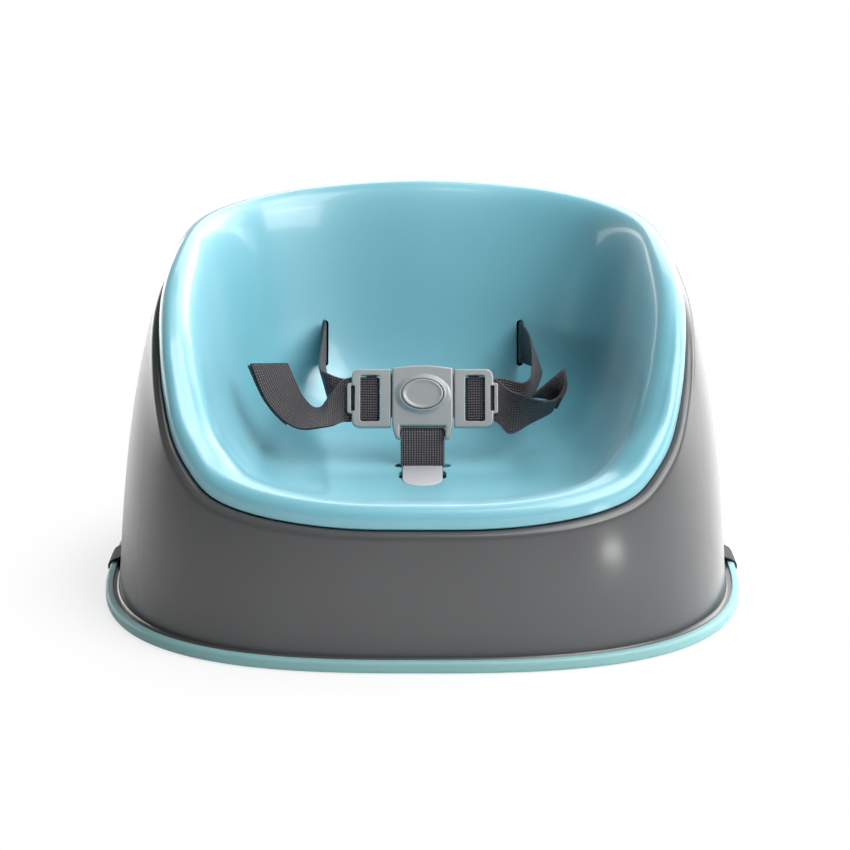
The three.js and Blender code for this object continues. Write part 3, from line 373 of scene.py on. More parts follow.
# Height at x on a smooth line through points
def through(points, x):
    i = 0
    while i < len(points) - 2 and x > points[i + 1][0]:
        i += 1
    (x0, y0), (x1, y1) = points[i], points[i + 1]
    before = points[i - 1] if i > 0 else (2 * x0 - x1, y1)
    after = points[i + 2] if i + 2 < len(points) else (2 * x1 - x0, y0)
    slope0 = (y1 - before[1]) / (x1 - before[0])
    slope1 = (after[1] - y0) / (after[0] - x0)
    run = x1 - x0
    t = (x - x0) / run
    rest = 1 - t
    ends = y0 * rest * rest * (1 + 2 * t) + y1 * t * t * (3 - 2 * t)
    return ends + run * slope0 * t * rest * rest - run * slope1 * t * t * rest


def roundedSquare(angle, halfWidth, front, back):
    n = outline["fullness"]
    halfDepth = (front + back) / 2
    reach = (abs(math.cos(angle) / halfWidth) ** n + abs(math.sin(angle) / halfDepth) ** n) ** (-1 / n)
    return reach * math.cos(angle), (back - front) / 2 + reach * math.sin(angle)


def leanAt(z):
    share = z / outline["leanHeight"]
    return outline["leanIn"] * (outline["straightShare"] * share + (1 - outline["straightShare"]) * share**3)


# A point on the wall's outline at z, set out by outset, and put at another height if one is given
def wallPoint(angle, z, outset, height=None):
    lean = leanAt(z)
    x, y = roundedSquare(
        angle,
        outline["halfWidth"] - lean + outset,
        outline["halfDepth"] - lean + outset,
        outline["halfDepth"] - outline["backShare"] * lean + outset,
    )
    return np.array((x, y, z if height is None else height))


def seamAt(angle):
    return through(seamLine, abs(math.degrees(math.atan2(math.cos(angle), -math.sin(angle)))))


# How much taller a thickness stands where the seam slopes
def riseScale(angle):
    low, high = (wallPoint(near, seamAt(near), 0) for near in (angle - 0.03, angle + 0.03))
    return math.hypot(1, (high[2] - low[2]) / math.hypot(*(high - low)[:2]))


def bend(value):
    return math.copysign(abs(value) ** (2 / outline["fullness"]), value)


angles = [
    math.atan2(outline["halfDepth"] * bend(y), outline["halfWidth"] * bend(x)) for x, y in circle(1, outline["columns"])
]

# Grey base shell
base = {
    "wall": 3, "flangeReach": 5.4, "flangeBottom": 3, "flangeTop": 5.2, "flangeEdge": 0.4, "fillet": 1.6,
    "shoulder": 3.5, "seamGap": 0.8, "ledgeReach": 17.5, "ledgeEdge": 0.5, "lipDepth": 6, "lipWall": 2,
    "wallRows": 40, "filletRows": 6, "bendRows": 8, "sharpAngle": 35,
}


def baseProfile(angle):
    rise = riseScale(angle)
    ledge = seamAt(angle) - base["seamGap"] * rise
    shoulder = ledge - base["shoulder"] * rise
    top, edge, reach, fillet = (base[size] for size in ("flangeTop", "flangeEdge", "flangeReach", "fillet"))
    foot = top + fillet
    line = [(base["flangeBottom"], reach), (top - edge, reach), (top, reach - edge), (top, fillet + edge)]
    for i in range(1, base["filletRows"]):
        turn = math.pi / 2 * i / base["filletRows"]
        line.append((top + fillet * (1 - math.cos(turn)), fillet * (1 - math.sin(turn))))
    line += [(foot + (shoulder - foot) * i / base["wallRows"], 0) for i in range(base["wallRows"] + 1)]
    for i in range(1, base["bendRows"] + 1):
        turn = math.pi / 2 * i / base["bendRows"]
        line.append((shoulder + base["shoulder"] * rise * math.sin(turn), base["shoulder"] * (math.cos(turn) - 1)))
    loop = [wallPoint(angle, z, outset) for z, outset in line]

    # The ledge that carries the seat shell, with its lip, then the inner face down to the foot
    lipBottom, under = ledge - base["lipDepth"] * rise, ledge - base["wall"] * rise
    inner, lipIn = -base["ledgeReach"], base["lipWall"] - base["ledgeReach"]
    line = [
        (inner + base["ledgeEdge"], ledge), (inner, ledge - base["ledgeEdge"]), (inner, lipBottom),
        (lipIn, lipBottom), (lipIn, under), (-base["wall"] - 1, under),
    ]
    loop += [wallPoint(angle, ledge, outset, z) for outset, z in line]
    innerTop = under - base["shoulder"] * rise
    rows = base["wallRows"] // 2
    fall = base["flangeBottom"] - innerTop
    return loop + [wallPoint(angle, innerTop + fall * i / rows, -base["wall"]) for i in range(rows + 1)]


loops = np.array([baseProfile(angle) for angle in angles])
baseShell = newPiece("base_shell_skin", loops.reshape(-1, 3), gridFaces(*loops.shape[:2], closed=True))

slots = {
    "length": 28.4, "width": 3.8, "chairZ": 10.6, "flare": 0.9, "lipRows": [0.05, 0.15, 0.3, 0.5, 0.7, 0.9],
    "baseReach": (-6, 8), "seatReach": (-9, 12),
}


# The slot opens like a rounded lip towards the visible face, which lies at depth 0.
def slotCutter(half, radius, reach, place):
    rings = []
    flare = slots["flare"]
    for depth in (reach[0], 0, *slots["lipRows"], reach[1]):
        left = min(max(flare - depth, 0), flare)
        r = radius + (flare - math.sqrt(flare**2 - left**2))
        line = arc(0, half - radius, r, 0, 180, 23) + arc(0, radius - half, r, 180, 360, 23)
        rings.append([(x, y, depth) for x, y in line])
    cutter = loftRings(rings)
    cutter.data.transform(place)
    return cutter


cutters = []
for side in (-1, 1):
    # Local axes: x across the slot is up, y along the slot is front to back, z goes into the wall.
    turnIn = Matrix(((0, 0, -side, 0), (0, 1, 0, 0), (side, 0, 0, 0), (0, 0, 0, 1)))
    wallX = side * (outline["halfWidth"] - leanAt(slots["chairZ"]))
    place = Matrix.Translation((wallX * mm, 0, slots["chairZ"] * mm)) @ turnIn
    cutters.append(slotCutter(slots["length"] / 2, slots["width"] / 2, slots["baseReach"], place))

screws = {
    "angles": [20, 112, 165], "inset": 11, "hole": 1.75, "recess": 3.6, "seatDepth": 0.8, "headHeight": 2.2,
    "head": 3.3, "shank": 1.45, "length": 9, "slotDepth": 1.1, "slotWidth": 0.7, "boss": 3.5, "bossDrop": 0.2,
    "bossLap": 0.15, "neckShare": 0.72, "neckTaper": 1.39, "rodShare": 0.84, "pointShare": 0.16, "pointTaper": 0.2,
    "slotShare": 1.2,
}
screwPlaces = []
for degrees in screws["angles"]:
    for side in (-1, 1):
        angle = -math.pi / 2 + side * math.radians(degrees)
        seam, rise = seamAt(angle), riseScale(angle)
        x, y, _ = wallPoint(angle, seam, -screws["inset"])
        headSeat = seam - (base["seamGap"] + base["wall"]) * rise + screws["seatDepth"]
        screwPlaces.append((x, y, seam, rise, headSeat))
for x, y, seam, rise, headSeat in screwPlaces:
    cutters.append(pillar(x, y, seam - cutNear, seam + cutNear, screws["hole"]))
    cutters.append(pillar(x, y, headSeat - screws["headHeight"], headSeat, screws["recess"]))
combine(baseShell, cutters, "DIFFERENCE", base["sharpAngle"])
baseShell.data.materials.append(baseMaterial)
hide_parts("base_shell")
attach(baseShell, "seat")
print("base shell made")

# Rim screws: one screw, set at each of its places
screwSizes = {
    "Head": screws["head"] * mm, "Head height": screws["headHeight"] * mm, "Shank": screws["shank"] * mm,
    "Length": screws["length"] * mm, "Slot depth": screws["slotDepth"] * mm,
}


def screwTree():
    given, add, sums, finish = nodeTree("rimScrews", screwSizes)
    head, headHeight, shank, length = (given[label] for label in ("Head", "Head height", "Shank", "Length"))
    half = sums("MULTIPLY", headHeight, 0.5)
    point = sums("MULTIPLY", length, screws["rodShare"])

    def raised(geometry, z):
        up = add("ShaderNodeCombineXYZ", (2, z))[0]
        return add("GeometryNodeTransform", ("Geometry", geometry), ("Translation", up))[0]

    def rod(radius, depth, low, taper=1.0):
        top = sums("MULTIPLY", radius, taper)
        sizes = ("Vertices", 32), ("Radius Bottom", radius), ("Radius Top", top), ("Depth", depth)
        return raised(add("GeometryNodeMeshCone", *sizes)[0], low)

    def joined(forms):
        meshes = [("Mesh 2", form) for form in forms]
        return add("GeometryNodeMeshBoolean", *meshes, operation="UNION", solver="EXACT")[0]

    body = joined([
        rod(sums("MULTIPLY", head, screws["neckShare"]), half, sums("MULTIPLY", headHeight, -1.0), screws["neckTaper"]),
        rod(head, half, sums("MULTIPLY", half, -1.0)),
        rod(shank, point, 0.0),
        rod(shank, sums("MULTIPLY", length, screws["pointShare"]), point, screws["pointTaper"]),
    ])
    # Cross slot in the head
    bladeLength, bladeWidth = sums("MULTIPLY", head, screws["slotShare"]), screws["slotWidth"] * mm
    low = sums("SUBTRACT", given["Slot depth"], sums("MULTIPLY", headHeight, 1.5))
    blades = []
    for x, y in ((bladeLength, bladeWidth), (bladeWidth, bladeLength)):
        size = add("ShaderNodeCombineXYZ", (0, x), (1, y), (2, headHeight))[0]
        blades.append(raised(add("GeometryNodeMeshCube", ("Size", size))[0], low))
    meshes = ("Mesh 1", body), ("Mesh 2", joined(blades))
    cut = add("GeometryNodeMeshBoolean", *meshes, operation="DIFFERENCE", solver="EXACT")[0]
    return finish(
        add("GeometryNodeInstanceOnPoints", ("Points", given["Geometry"]), ("Instance", cut))[0], steelMaterial
    )


rimScrews = newPiece("rim_screws_skin", [(x, y, headSeat) for x, y, _, _, headSeat in screwPlaces], [])
grow(rimScrews, screwTree(), screwSizes, 30)
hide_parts(*[f"rim_screw_{i}" for i in range(1, 7)])
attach(rimScrews, "seat")
print("screws made", len(rimScrews.data.polygons))

# Blue seat shell
seat = {
    "wall": 3, "skirtInset": 3.5, "skirtRise": 4.5, "skirtRound": 0.6, "rollWidth": 7, "rollRise": 7.5, "rollIn": 25,
    "footReach": 14, "panHeight": 77, "panDish": 1.5, "panHalfWidth": 78, "panFront": 100, "panBack": 58,
    "panRows": 14, "bowlRows": 44, "rollRows": 14, "skirtRows": (0.5, 0.85),
}
crestOutset = -seat["skirtInset"] - seat["rollWidth"]
crestRise = seat["skirtRise"] + seat["rollRise"]
panMiddle = np.array((0, (seat["panBack"] - seat["panFront"]) / 2, seat["panHeight"] - seat["panDish"]))


# The bowl's wall runs from the crest of the rim, at t 0, to the edge of the pan, at t 1.
def bowlPoint(angle, t):
    seam = seamAt(angle)
    crest = wallPoint(angle, seam, crestOutset, seam + crestRise * riseScale(angle))
    x, y = roundedSquare(angle, seat["panHalfWidth"], seat["panFront"], seat["panBack"])
    edge = np.array((x, y, seat["panHeight"]))
    inward = unit((edge - crest) * (1, 1, 0))
    foot = crest + inward * seat["footReach"]
    foot[2] = seat["panHeight"]
    return bezierAt(t, crest, crest + inward * seat["rollIn"], foot, edge)


def seatRow(angle):
    rise, seam, edge = riseScale(angle), seamAt(angle), bowlPoint(angle, 1)
    row = []
    for i in range(1, seat["panRows"]):
        share = i / seat["panRows"]
        x, y, _ = panMiddle + (edge - panMiddle) * share
        row.append((x, y, seat["panHeight"] - seat["panDish"] * (1 - share**2) ** 1.5))
    row += [bowlPoint(angle, i / seat["bowlRows"]) for i in range(seat["bowlRows"], -1, -1)]
    for i in range(1, seat["rollRows"] + 1):
        turn = math.pi / 2 * i / seat["rollRows"]
        z = seam + (seat["skirtRise"] + seat["rollRise"] * math.cos(turn)) * rise
        row.append(wallPoint(angle, seam, crestOutset + seat["rollWidth"] * math.sin(turn), z))
    for share in seat["skirtRows"]:
        row.append(wallPoint(angle, seam, -seat["skirtInset"], seam + seat["skirtRise"] * rise * (1 - share)))
    row.append(wallPoint(angle, seam, -seat["skirtInset"] - seat["skirtRound"]))
    return row


def seatSheet():
    rows = np.array([seatRow(angle) for angle in angles])
    columns, count = rows.shape[:2]
    around = np.roll(rows, -1, axis=0) - np.roll(rows, 1, axis=0)
    out = np.empty_like(rows)
    out[:, 1:-1] = rows[:, 2:] - rows[:, :-2]
    out[:, 0] = rows[:, 1] - rows[:, 0]
    out[:, -1] = rows[:, -1] - rows[:, -2]
    out[:, -1, :2] = 0
    normals = unit(np.cross(out, around))
    under = rows - normals * seat["wall"]
    under[:, -1, 2] = rows[:, -1, 2]
    under[:, -1, :2] = (rows - normals * (seat["wall"] - seat["skirtRound"]))[:, -1, :2]
    depth = columns * count
    middles = [panMiddle, panMiddle - (0, 0, seat["wall"])]
    points = np.concatenate([rows.reshape(-1, 3), under.reshape(-1, 3), middles])
    faces = []
    for i in range(columns):
        a, b = i * count, (i + 1) % columns * count
        faces.append((2 * depth, a, b))
        faces.append((2 * depth + 1, b + depth, a + depth))
        for j in range(count - 1):
            faces.append((a + j, a + j + 1, b + j + 1, b + j))
            faces.append((a + j + depth, b + j + depth, b + j + 1 + depth, a + j + 1 + depth))
        faces.append((a + count - 1, a + count - 1 + depth, b + count - 1 + depth, b + count - 1))
    return newPiece("seat_shell_skin", points, faces)


def halved(comesBefore, low, high):
    for _ in range(40):
        middle = (low + high) / 2
        if comesBefore(middle):
            low = middle
        else:
            high = middle
    return low, high


# Place on the bowl's back wall at a given x and height
def bowlAt(x, z):
    def atHeight(angle):
        return bowlPoint(angle, halved(lambda t: bowlPoint(angle, t)[2] > z, 0.0, 1.0)[0])

    return atHeight(halved(lambda angle: atHeight(angle)[0] > x, 0.3, math.pi / 2)[1])


seatShell = seatSheet()
bosses = []
for x, y, seam, rise, _ in screwPlaces:
    top = seam + (crestRise - seat["wall"]) * rise + screws["bossLap"]
    bosses.append(pillar(x, y, seam - screws["bossDrop"], top, screws["boss"]))
combine(seatShell, bosses, "UNION")

waistSlot = {"x": 60.3, "z": 116.4, "halfLength": 14.2, "radius": 1.9, "forward": 0.35}
slotLow, slotHigh = (bowlAt(waistSlot["x"], waistSlot["z"] + way * waistSlot["halfLength"]) for way in (-1, 1))
slotUp = unit(slotHigh - slotLow)
slotMiddle = (slotLow + slotHigh) / 2
slotLean = math.atan2(slotUp[1], slotUp[2])
slotBack = np.array((0, math.cos(slotLean), -math.sin(slotLean)))
cutters = []
for side in (-1, 1):
    # Local axes: x across the slot, y up the slot, z back through the wall.
    across, back = Vector((1, 0, 0)), Vector(slotBack)
    turnIn = Matrix((across, back.cross(across), back)).transposed().to_4x4()
    surface = Vector((side * waistSlot["x"], *slotMiddle[1:])) - back * waistSlot["forward"]
    place = Matrix.Translation(surface * mm) @ turnIn
    cutters.append(slotCutter(waistSlot["halfLength"], waistSlot["radius"], slots["seatReach"], place))
crotchSlot = {"y": -41.5, "half": 16, "radius": 3.5, "raise": 0.15}
panZ = panMiddle[2]
layFlat = Matrix(((0, 1, 0, 0), (1, 0, 0, 0), (0, 0, -1, 0), (0, 0, 0, 1)))
place = Matrix.Translation((0, crotchSlot["y"] * mm, (panZ + crotchSlot["raise"]) * mm)) @ layFlat
cutters.append(slotCutter(crotchSlot["half"], crotchSlot["radius"], slots["seatReach"], place))

tab = {
    "width": 22.6, "length": 37, "straight": 24, "thickness": 1.6, "rounding": 0.45, "belowPanEdge": 0.4,
    "openingWidth": 26.8, "openingLength": 15, "openingSetback": 8, "openingCorner": 3,
    "hookWidth": 18, "hookThickness": 2, "hookReach": 2.5,
}
tabBack = crotchSlot["y"] - crotchSlot["radius"] - gap
tabTop = seat["panHeight"] - tab["belowPanEdge"]
tabBottom = tabTop - tab["thickness"]
openBack = tabBack - tab["openingSetback"]
openFront = openBack - tab["openingLength"]


def tabOutline(outset):
    half, back = tab["width"] / 2 + outset, tabBack + outset
    bendY, front = tabBack - tab["straight"], tabBack - tab["length"] - outset
    controls = (half, bendY), (half, bendY + (front - bendY) * 0.6), (half * 0.55, front), (0, front)
    right = [(half, back)] + [tuple(bezierAt(i / 16, *controls)) for i in range(17)]
    return [(-x, y) for x, y in right[:-1]] + right[::-1]


cutters.append(prism(tabOutline(gap), tabBottom - gap, tabBottom + cutNear))
openHalf = tab["openingWidth"] / 2
opening = [(-openHalf, openFront), (openHalf, openFront), (openHalf, openBack), (-openHalf, openBack)]
opening = rounded(opening, [tab["openingCorner"]] * 4, 6)
cutters.append(prism(opening, seat["panHeight"] - cutNear, seat["panHeight"] + cutNear))
combine(seatShell, cutters, "DIFFERENCE")
seatShell.data.materials.append(seatMaterial)
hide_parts("seat_shell")
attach(seatShell, "seat")
print("seat shell made")

# Ring
ring = {
    "reach": 7.39, "height": 6.6, "footInner": 0.6, "lipInner": 3.2, "notchReach": 20, "notchHalf": 14.2,
    "notchTop": 2.15, "sharpAngle": 50,
}
ringSizes = {
    "Half width": outline["halfWidth"] * mm, "Half depth": outline["halfDepth"] * mm,
    "Fullness": outline["fullness"], "Columns": outline["columns"],
}


def ringTree():
    given, add, sums, finish = nodeTree("ringSweep", ringSizes)
    # The profile is swept round a circle of 1 m, then each point goes to the rounded square's line.
    profile = add("GeometryNodeMeshToCurve", ("Mesh", given["Geometry"]))[0]
    path = add("GeometryNodeCurvePrimitiveCircle", ("Resolution", given["Columns"]), ("Radius", 1.0))[0]
    swept = add("GeometryNodeCurveToMesh", ("Curve", path), ("Profile Curve", profile))[0]
    x, y, z = add("ShaderNodeSeparateXYZ", ("Vector", add("GeometryNodeInputPosition")[0]))
    reach = sums("SQRT", sums("MULTIPLY_ADD", x, x, sums("MULTIPLY", y, y)))
    outset = sums("SUBTRACT", reach, 1.0)
    power = sums("DIVIDE", 2.0, given["Fullness"])
    places = []
    for part, half in ((x, given["Half width"]), (y, given["Half depth"])):
        share = sums("DIVIDE", part, reach)
        bent = sums("MULTIPLY", sums("SIGN", share), sums("POWER", sums("ABSOLUTE", share), power))
        places.append(sums("MULTIPLY", bent, sums("ADD", half, outset)))
    place = add("ShaderNodeCombineXYZ", *enumerate((*places, z)))[0]
    return finish(add("GeometryNodeSetPosition", ("Geometry", swept), ("Position", place))[0], ringMaterial)


def ringProfile():
    grooveReach, grooveTop = base["flangeReach"] + gap, base["flangeTop"] + gap
    grooveBottom = base["flangeBottom"] - gap
    line = [
        (ring["footInner"], 0), (ring["reach"], 0), (ring["reach"], ring["height"]),
        (ring["lipInner"], ring["height"]), (ring["lipInner"], grooveTop), (grooveReach, grooveTop),
        (grooveReach, grooveBottom), (ring["footInner"], grooveBottom),
    ]
    return rounded(line, [0.4, 2.4, 2.2, 0.7, 0.2, 0, 0, 0.4], 6)


# The sweep takes the profile's x as outwards and its y as down.
profilePoints = [(outset, -z, 0) for outset, z in ringProfile()]
count = len(profilePoints)
baseRing = newObject("base_ring_skin", profilePoints, [(i, (i + 1) % count) for i in range(count)], [])
grow(baseRing, ringTree(), ringSizes)
notches = []
for side in (-1, 1):
    x, reach, half = side * outline["halfWidth"], ring["notchReach"], ring["notchHalf"]
    notches.append(block((x - reach, -half, -1), (x + reach, half, ring["notchTop"])))
combine(baseRing, notches, "DIFFERENCE", ring["sharpAngle"])
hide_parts("base_ring")
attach(baseRing, "seat")
print("ring made")

# Buckle, in its own flat frame: X across, Y up its face, Z out of its face
buckle = {
    "y": -34, "z": 115, "leanBack": 25, "halfWidth": 17.3, "bottom": -16.5, "shoulder": 15.2, "crown": 16.8,
    "thickness": 8.5, "rounding": 1.1, "lugDepth": 9, "lugTip": 2.4, "lugNotch": 1.6, "lugRise": 0.6, "flank": (0.4, 4),
    "rodDrop": 5, "rodRadius": 1.5, "rodBack": 0.6,
    "oval": 0.725, "buttonRadius": 11.8, "buttonTop": 7.3, "flange": 1.6, "flangeTop": 4.1, "flangeThickness": 0.8,
    "postRadius": 1.3, "postDrop": 2.2, "shankHalf": 12.4, "shankBottom": -2, "shankTop": 0.2,
    "dome": [
        (16, 0), (16, 4.2), (15.6, 4.5), (14.9, 4.8), (14.2, 5.35), (13.7, 5.9), (13.2, 6.25), (12.8, 6.4), (11, 6.4),
    ],
}
web = {"width": 25, "thickness": 1.4, "edge": 0.7, "thinning": 0.12, "flats": 12, "easing": 10}
halfWeb, halfThick = web["width"] / 2, web["thickness"] / 2
intoSpace = Matrix.Translation((0, buckle["y"] * mm, buckle["z"] * mm)) @ Matrix.Rotation(
    math.pi / 2 - math.radians(buckle["leanBack"]), 4, "X"
)


def ovalLathe(profile):
    return loftRings([[(x, buckle["oval"] * y, z) for x, y in circle(radius, 96)] for radius, z in profile])


def buckleLine():
    half, slotHalf = buckle["halfWidth"], halfWeb + gap
    bottom, shoulder = buckle["bottom"], buckle["shoulder"]
    end, tip = bottom - buckle["lugDepth"], slotHalf + buckle["lugTip"]
    flankIn, flankDrop = buckle["flank"]
    lug = tip, end + buckle["lugRise"]
    right = [(slotHalf, bottom - buckle["lugNotch"]), (slotHalf, end), lug]
    flank = lug, (half - flankIn, bottom - flankDrop), (half, bottom)
    right += [tuple(bezierAt(i / 8, *flank)) for i in range(1, 9)] + [(half, shoulder)]
    crown = (half, shoulder), (0, 2 * buckle["crown"] - shoulder), (-half, shoulder)
    top = [tuple(bezierAt(i / 12, *crown)) for i in range(1, 12)]
    return right + top + [(-x, y) for x, y in right[::-1]]


def addMoulded(obj, name, body, replaced, voxel=0.28, rounds=4, place=intoSpace):
    softened(obj, voxel, rounds)
    obj.data.transform(place)
    obj.name = name
    painted(obj, buckleMaterial)
    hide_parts(replaced)
    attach(obj, body)
    return obj


halfBuckle = buckle["thickness"] / 2
floorZ = buckle["shankBottom"] - gap
mouthTop = buckle["shankTop"] + gap
mouthHalf = buckle["shankHalf"] + 2 * gap
cavity = buckle["buttonRadius"] + buckle["flange"] + gap
shaft = buckle["buttonRadius"] + gap
rodY = buckle["bottom"] - buckle["rodDrop"]
rodZ = -halfBuckle + buckle["rodRadius"] + buckle["rodBack"]


# Half of the buckle: its body less the other side of the parting plane and less the tongues' mouth
def buckleHalf(addition, low, high, *more):
    body = prism(buckleLine(), -halfBuckle, halfBuckle, buckle["rounding"])
    otherSide = block((-cutFar, -cutFar, low), (cutFar, cutFar, high))
    mouth = block((-cutFar, -mouthHalf, floorZ), (cutFar, mouthHalf, mouthTop))
    if addition:
        combine(body, [addition], "UNION")
    return combine(body, [otherSide, mouth, *more], "DIFFERENCE")


front = buckleHalf(
    ovalLathe(buckle["dome"]), -cutFar, gap / 2,
    ovalLathe([(cavity, -1), (cavity, buckle["flangeTop"] + gap)]), ovalLathe([(shaft, 0), (shaft, 30)]),
)
addMoulded(front, "buckle_front_skin", "seat", "buckle_front")

backHalf = buckleHalf(None, -gap / 2, cutFar)
rodHalf = halfWeb + gap + 1
rod = loftRings([[(x, rodY + a, rodZ + b) for a, b in circle(buckle["rodRadius"])] for x in (-rodHalf, rodHalf)])
combine(backHalf, [rod], "UNION")
addMoulded(backHalf, "buckle_back_skin", "seat", "buckle_back")

flangeUnder = buckle["flangeTop"] - buckle["flangeThickness"]
r, top = buckle["buttonRadius"], buckle["buttonTop"]
button = ovalLathe(
    [
        (r + buckle["flange"], flangeUnder), (r + buckle["flange"], buckle["flangeTop"]), (r, buckle["flangeTop"]),
        (r, top - 0.9), (r - 0.12, top - 0.4), (r - 0.45, top - 0.1), (r - 0.9, top), (r - 1.4, top - 0.12),
        (r - 1.9, top - 0.4), (r - 2.6, top - 0.62), (r - 4, top - 0.72), (r - 7, top - 0.76), (1, top - 0.78),
    ]
)
post = pillar(0, 0, flangeUnder - buckle["postDrop"], flangeUnder + 0.2, buckle["postRadius"])
combine(button, [post], "UNION")
addMoulded(button, "release_button_skin", "button", "release_button", voxel=0.22, rounds=2)

coil = {"turns": 5.0, "radius": 2.6, "wire": 0.35}
coilLow = floorZ + coil["wire"] + gap / 2
coilHigh = flangeUnder - coil["wire"] - gap / 2
coilSizes = {
    "Turns": coil["turns"], "Radius": coil["radius"] * mm, "Wire": coil["wire"] * mm,
    "Height": (coilHigh - coilLow) * mm,
}


def springTree():
    given, add, sums, finish = nodeTree("springCoil", coilSizes)
    ends = ("Start Radius", given["Radius"]), ("End Radius", given["Radius"]), ("Height", given["Height"])
    path = add("GeometryNodeCurveSpiral", ("Resolution", 24), ("Rotations", given["Turns"]), *ends)[0]
    wire = add("GeometryNodeCurvePrimitiveCircle", ("Resolution", 10), ("Radius", given["Wire"]))[0]
    curves = ("Curve", path), ("Profile Curve", wire)
    return finish(add("GeometryNodeCurveToMesh", *curves, ("Fill Caps", True))[0], steelMaterial)


spring = newPiece("button_spring_skin", [(0, 0, 0)], [])
grow(spring, springTree(), coilSizes, 60)
spring.data.transform(intoSpace @ Matrix.Translation((0, 0, coilLow * mm)))
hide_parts("button_spring")
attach(spring, "seat")
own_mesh(spring)
print("buckle made")

# Tongues
tongue = {
    "drop": 1.9, "halfHeight": 16.8, "nearX": 18, "farX": 40.4, "corners": (0.8, 5), "front": 2.6, "back": -3.6,
    "rounding": 0.9, "windowNear": 24, "windowFar": 35.5, "windowCorners": (2.2, 1.6),
    "rodX": 27, "rodLength": 5.9, "rodThickness": 1.8,
    "outerBar": 1.9, "hoopLap": 3, "hoopCorners": (0, 1.4),
    "hoopSlotNear": 38.6, "hoopSlotFar": 40.8, "hoopFar": 43, "hoopHalf": 8.8,
    "hoopSlotHalf": 7.3, "hoopStep": 0.4, "sideGap": 0.8, "shankNear": 5.8, "shankLap": 2,
    "catchNear": 8.5, "catchLength": 5, "catchHalf": 4, "catchTop": 1.2, "catchBottom": -3,
}
windowHalf = halfWeb + tongue["sideGap"]
frontLegZ = tongue["front"] - tongue["outerBar"] - gap - halfThick
rodMiddle = frontLegZ - halfThick - gap - tongue["rodThickness"] / 2
legRadius = tongue["rodThickness"] / 2 + gap + halfThick
backLegZ = frontLegZ - 2 * legRadius


def makeTongue(side, word):
    def sided(near, far, half, low, high):
        x0, x1 = sorted((side * near, side * far))
        return block((x0, -half, low), (x1, half, high))

    def framed(near, far, half, radii, steps):
        corners = [(side * near, -half), (side * far, -half), (side * far, half), (side * near, half)]
        return rounded(corners, [*radii, *radii[::-1]], steps)[::side]

    plate = framed(tongue["nearX"], tongue["farX"], tongue["halfHeight"], tongue["corners"], 8)
    hoop = framed(tongue["farX"] - tongue["hoopLap"], tongue["hoopFar"], tongue["hoopHalf"], tongue["hoopCorners"], 5)
    window = framed(tongue["windowNear"], tongue["windowFar"], windowHalf, tongue["windowCorners"], 5)
    behind = tongue["front"] - tongue["outerBar"]
    body = prism(plate, tongue["back"], tongue["front"], tongue["rounding"])
    combine(body, [prism(hoop, behind, tongue["front"] - tongue["hoopStep"])], "UNION")
    hoopSlot = tongue["hoopSlotNear"], tongue["hoopSlotFar"], tongue["hoopSlotHalf"]
    cutters = [
        prism(window, -cutFar, cutFar),
        sided(tongue["windowNear"], tongue["hoopFar"] + 1, windowHalf, -cutFar, behind),
        sided(*hoopSlot, -cutFar, cutFar),
    ]
    combine(body, cutters, "DIFFERENCE")
    # The rod that the strap turns round
    radius = tongue["rodThickness"] / 2
    x0, x1 = sorted((side * tongue["rodX"], side * (tongue["rodX"] + tongue["rodLength"] - tongue["rodThickness"])))
    line = arc(x0, rodMiddle, radius, 90, 270, 9) + arc(x1, rodMiddle, radius, -90, 90, 9)
    combine(body, [loftRings([[(x, y, z) for x, z in line] for y in (windowHalf + 1, -windowHalf - 1)])], "UNION")
    body.data.transform(Matrix.Translation((0, -tongue["drop"] * mm, 0)))
    shankEnd = tongue["nearX"] + tongue["shankLap"]
    shank = tongue["shankNear"], shankEnd, buckle["shankHalf"], buckle["shankBottom"], buckle["shankTop"]
    combine(body, [sided(*shank)], "UNION")
    catch = tongue["catchNear"], tongue["catchNear"] + tongue["catchLength"], tongue["catchHalf"]
    combine(body, [sided(*catch, tongue["catchBottom"], tongue["catchTop"])], "DIFFERENCE")
    addMoulded(body, f"{word}_tongue_skin", f"tongue_{word}", f"{word}_tongue", voxel=0.25, rounds=3)


for side, word in ((-1, "left"), (1, "right")):
    makeTongue(side, word)
print("tongues made")


# Webbing: smooth strips through stations, each the place of the strap's two edges
def apart(p, q):
    return float(np.linalg.norm((p[:3] + p[3:] - q[:3] - q[3:]) / 2))


def between(p, q, start, end, t):
    return (end - t) / (end - start) * p + (t - start) / (end - start) * q


def splineThrough(points, spacing, closed):
    points = np.asarray(points, float)
    if closed:
        points = np.concatenate([points[-1:], points, points[:2]])
    else:
        points = np.concatenate([[2 * points[0] - points[1]], points, [2 * points[-1] - points[-2]]])
    result = []
    for i in range(1, len(points) - 2):
        p0, p1, p2, p3 = points[i - 1 : i + 3]
        t1 = max(apart(p0, p1), 1e-6) ** 0.5
        t2 = t1 + max(apart(p1, p2), 1e-6) ** 0.5
        t3 = t2 + max(apart(p2, p3), 1e-6) ** 0.5
        steps = max(2, int(math.ceil(apart(p1, p2) / spacing)))
        for k in range(steps):
            t = t1 + (t2 - t1) * k / steps
            a1, a2, a3 = between(p0, p1, 0, t1, t), between(p1, p2, t1, t2, t), between(p2, p3, t2, t3, t)
            result.append(between(between(a1, a2, 0, t2, t), between(a2, a3, t1, t3, t), t1, t2, t))
    if not closed:
        result.append(points[-2])
    return np.array(result)


def rowNear(edges, station):
    return int(np.argmin(np.linalg.norm(np.hstack(edges) - np.concatenate(station), axis=1)))


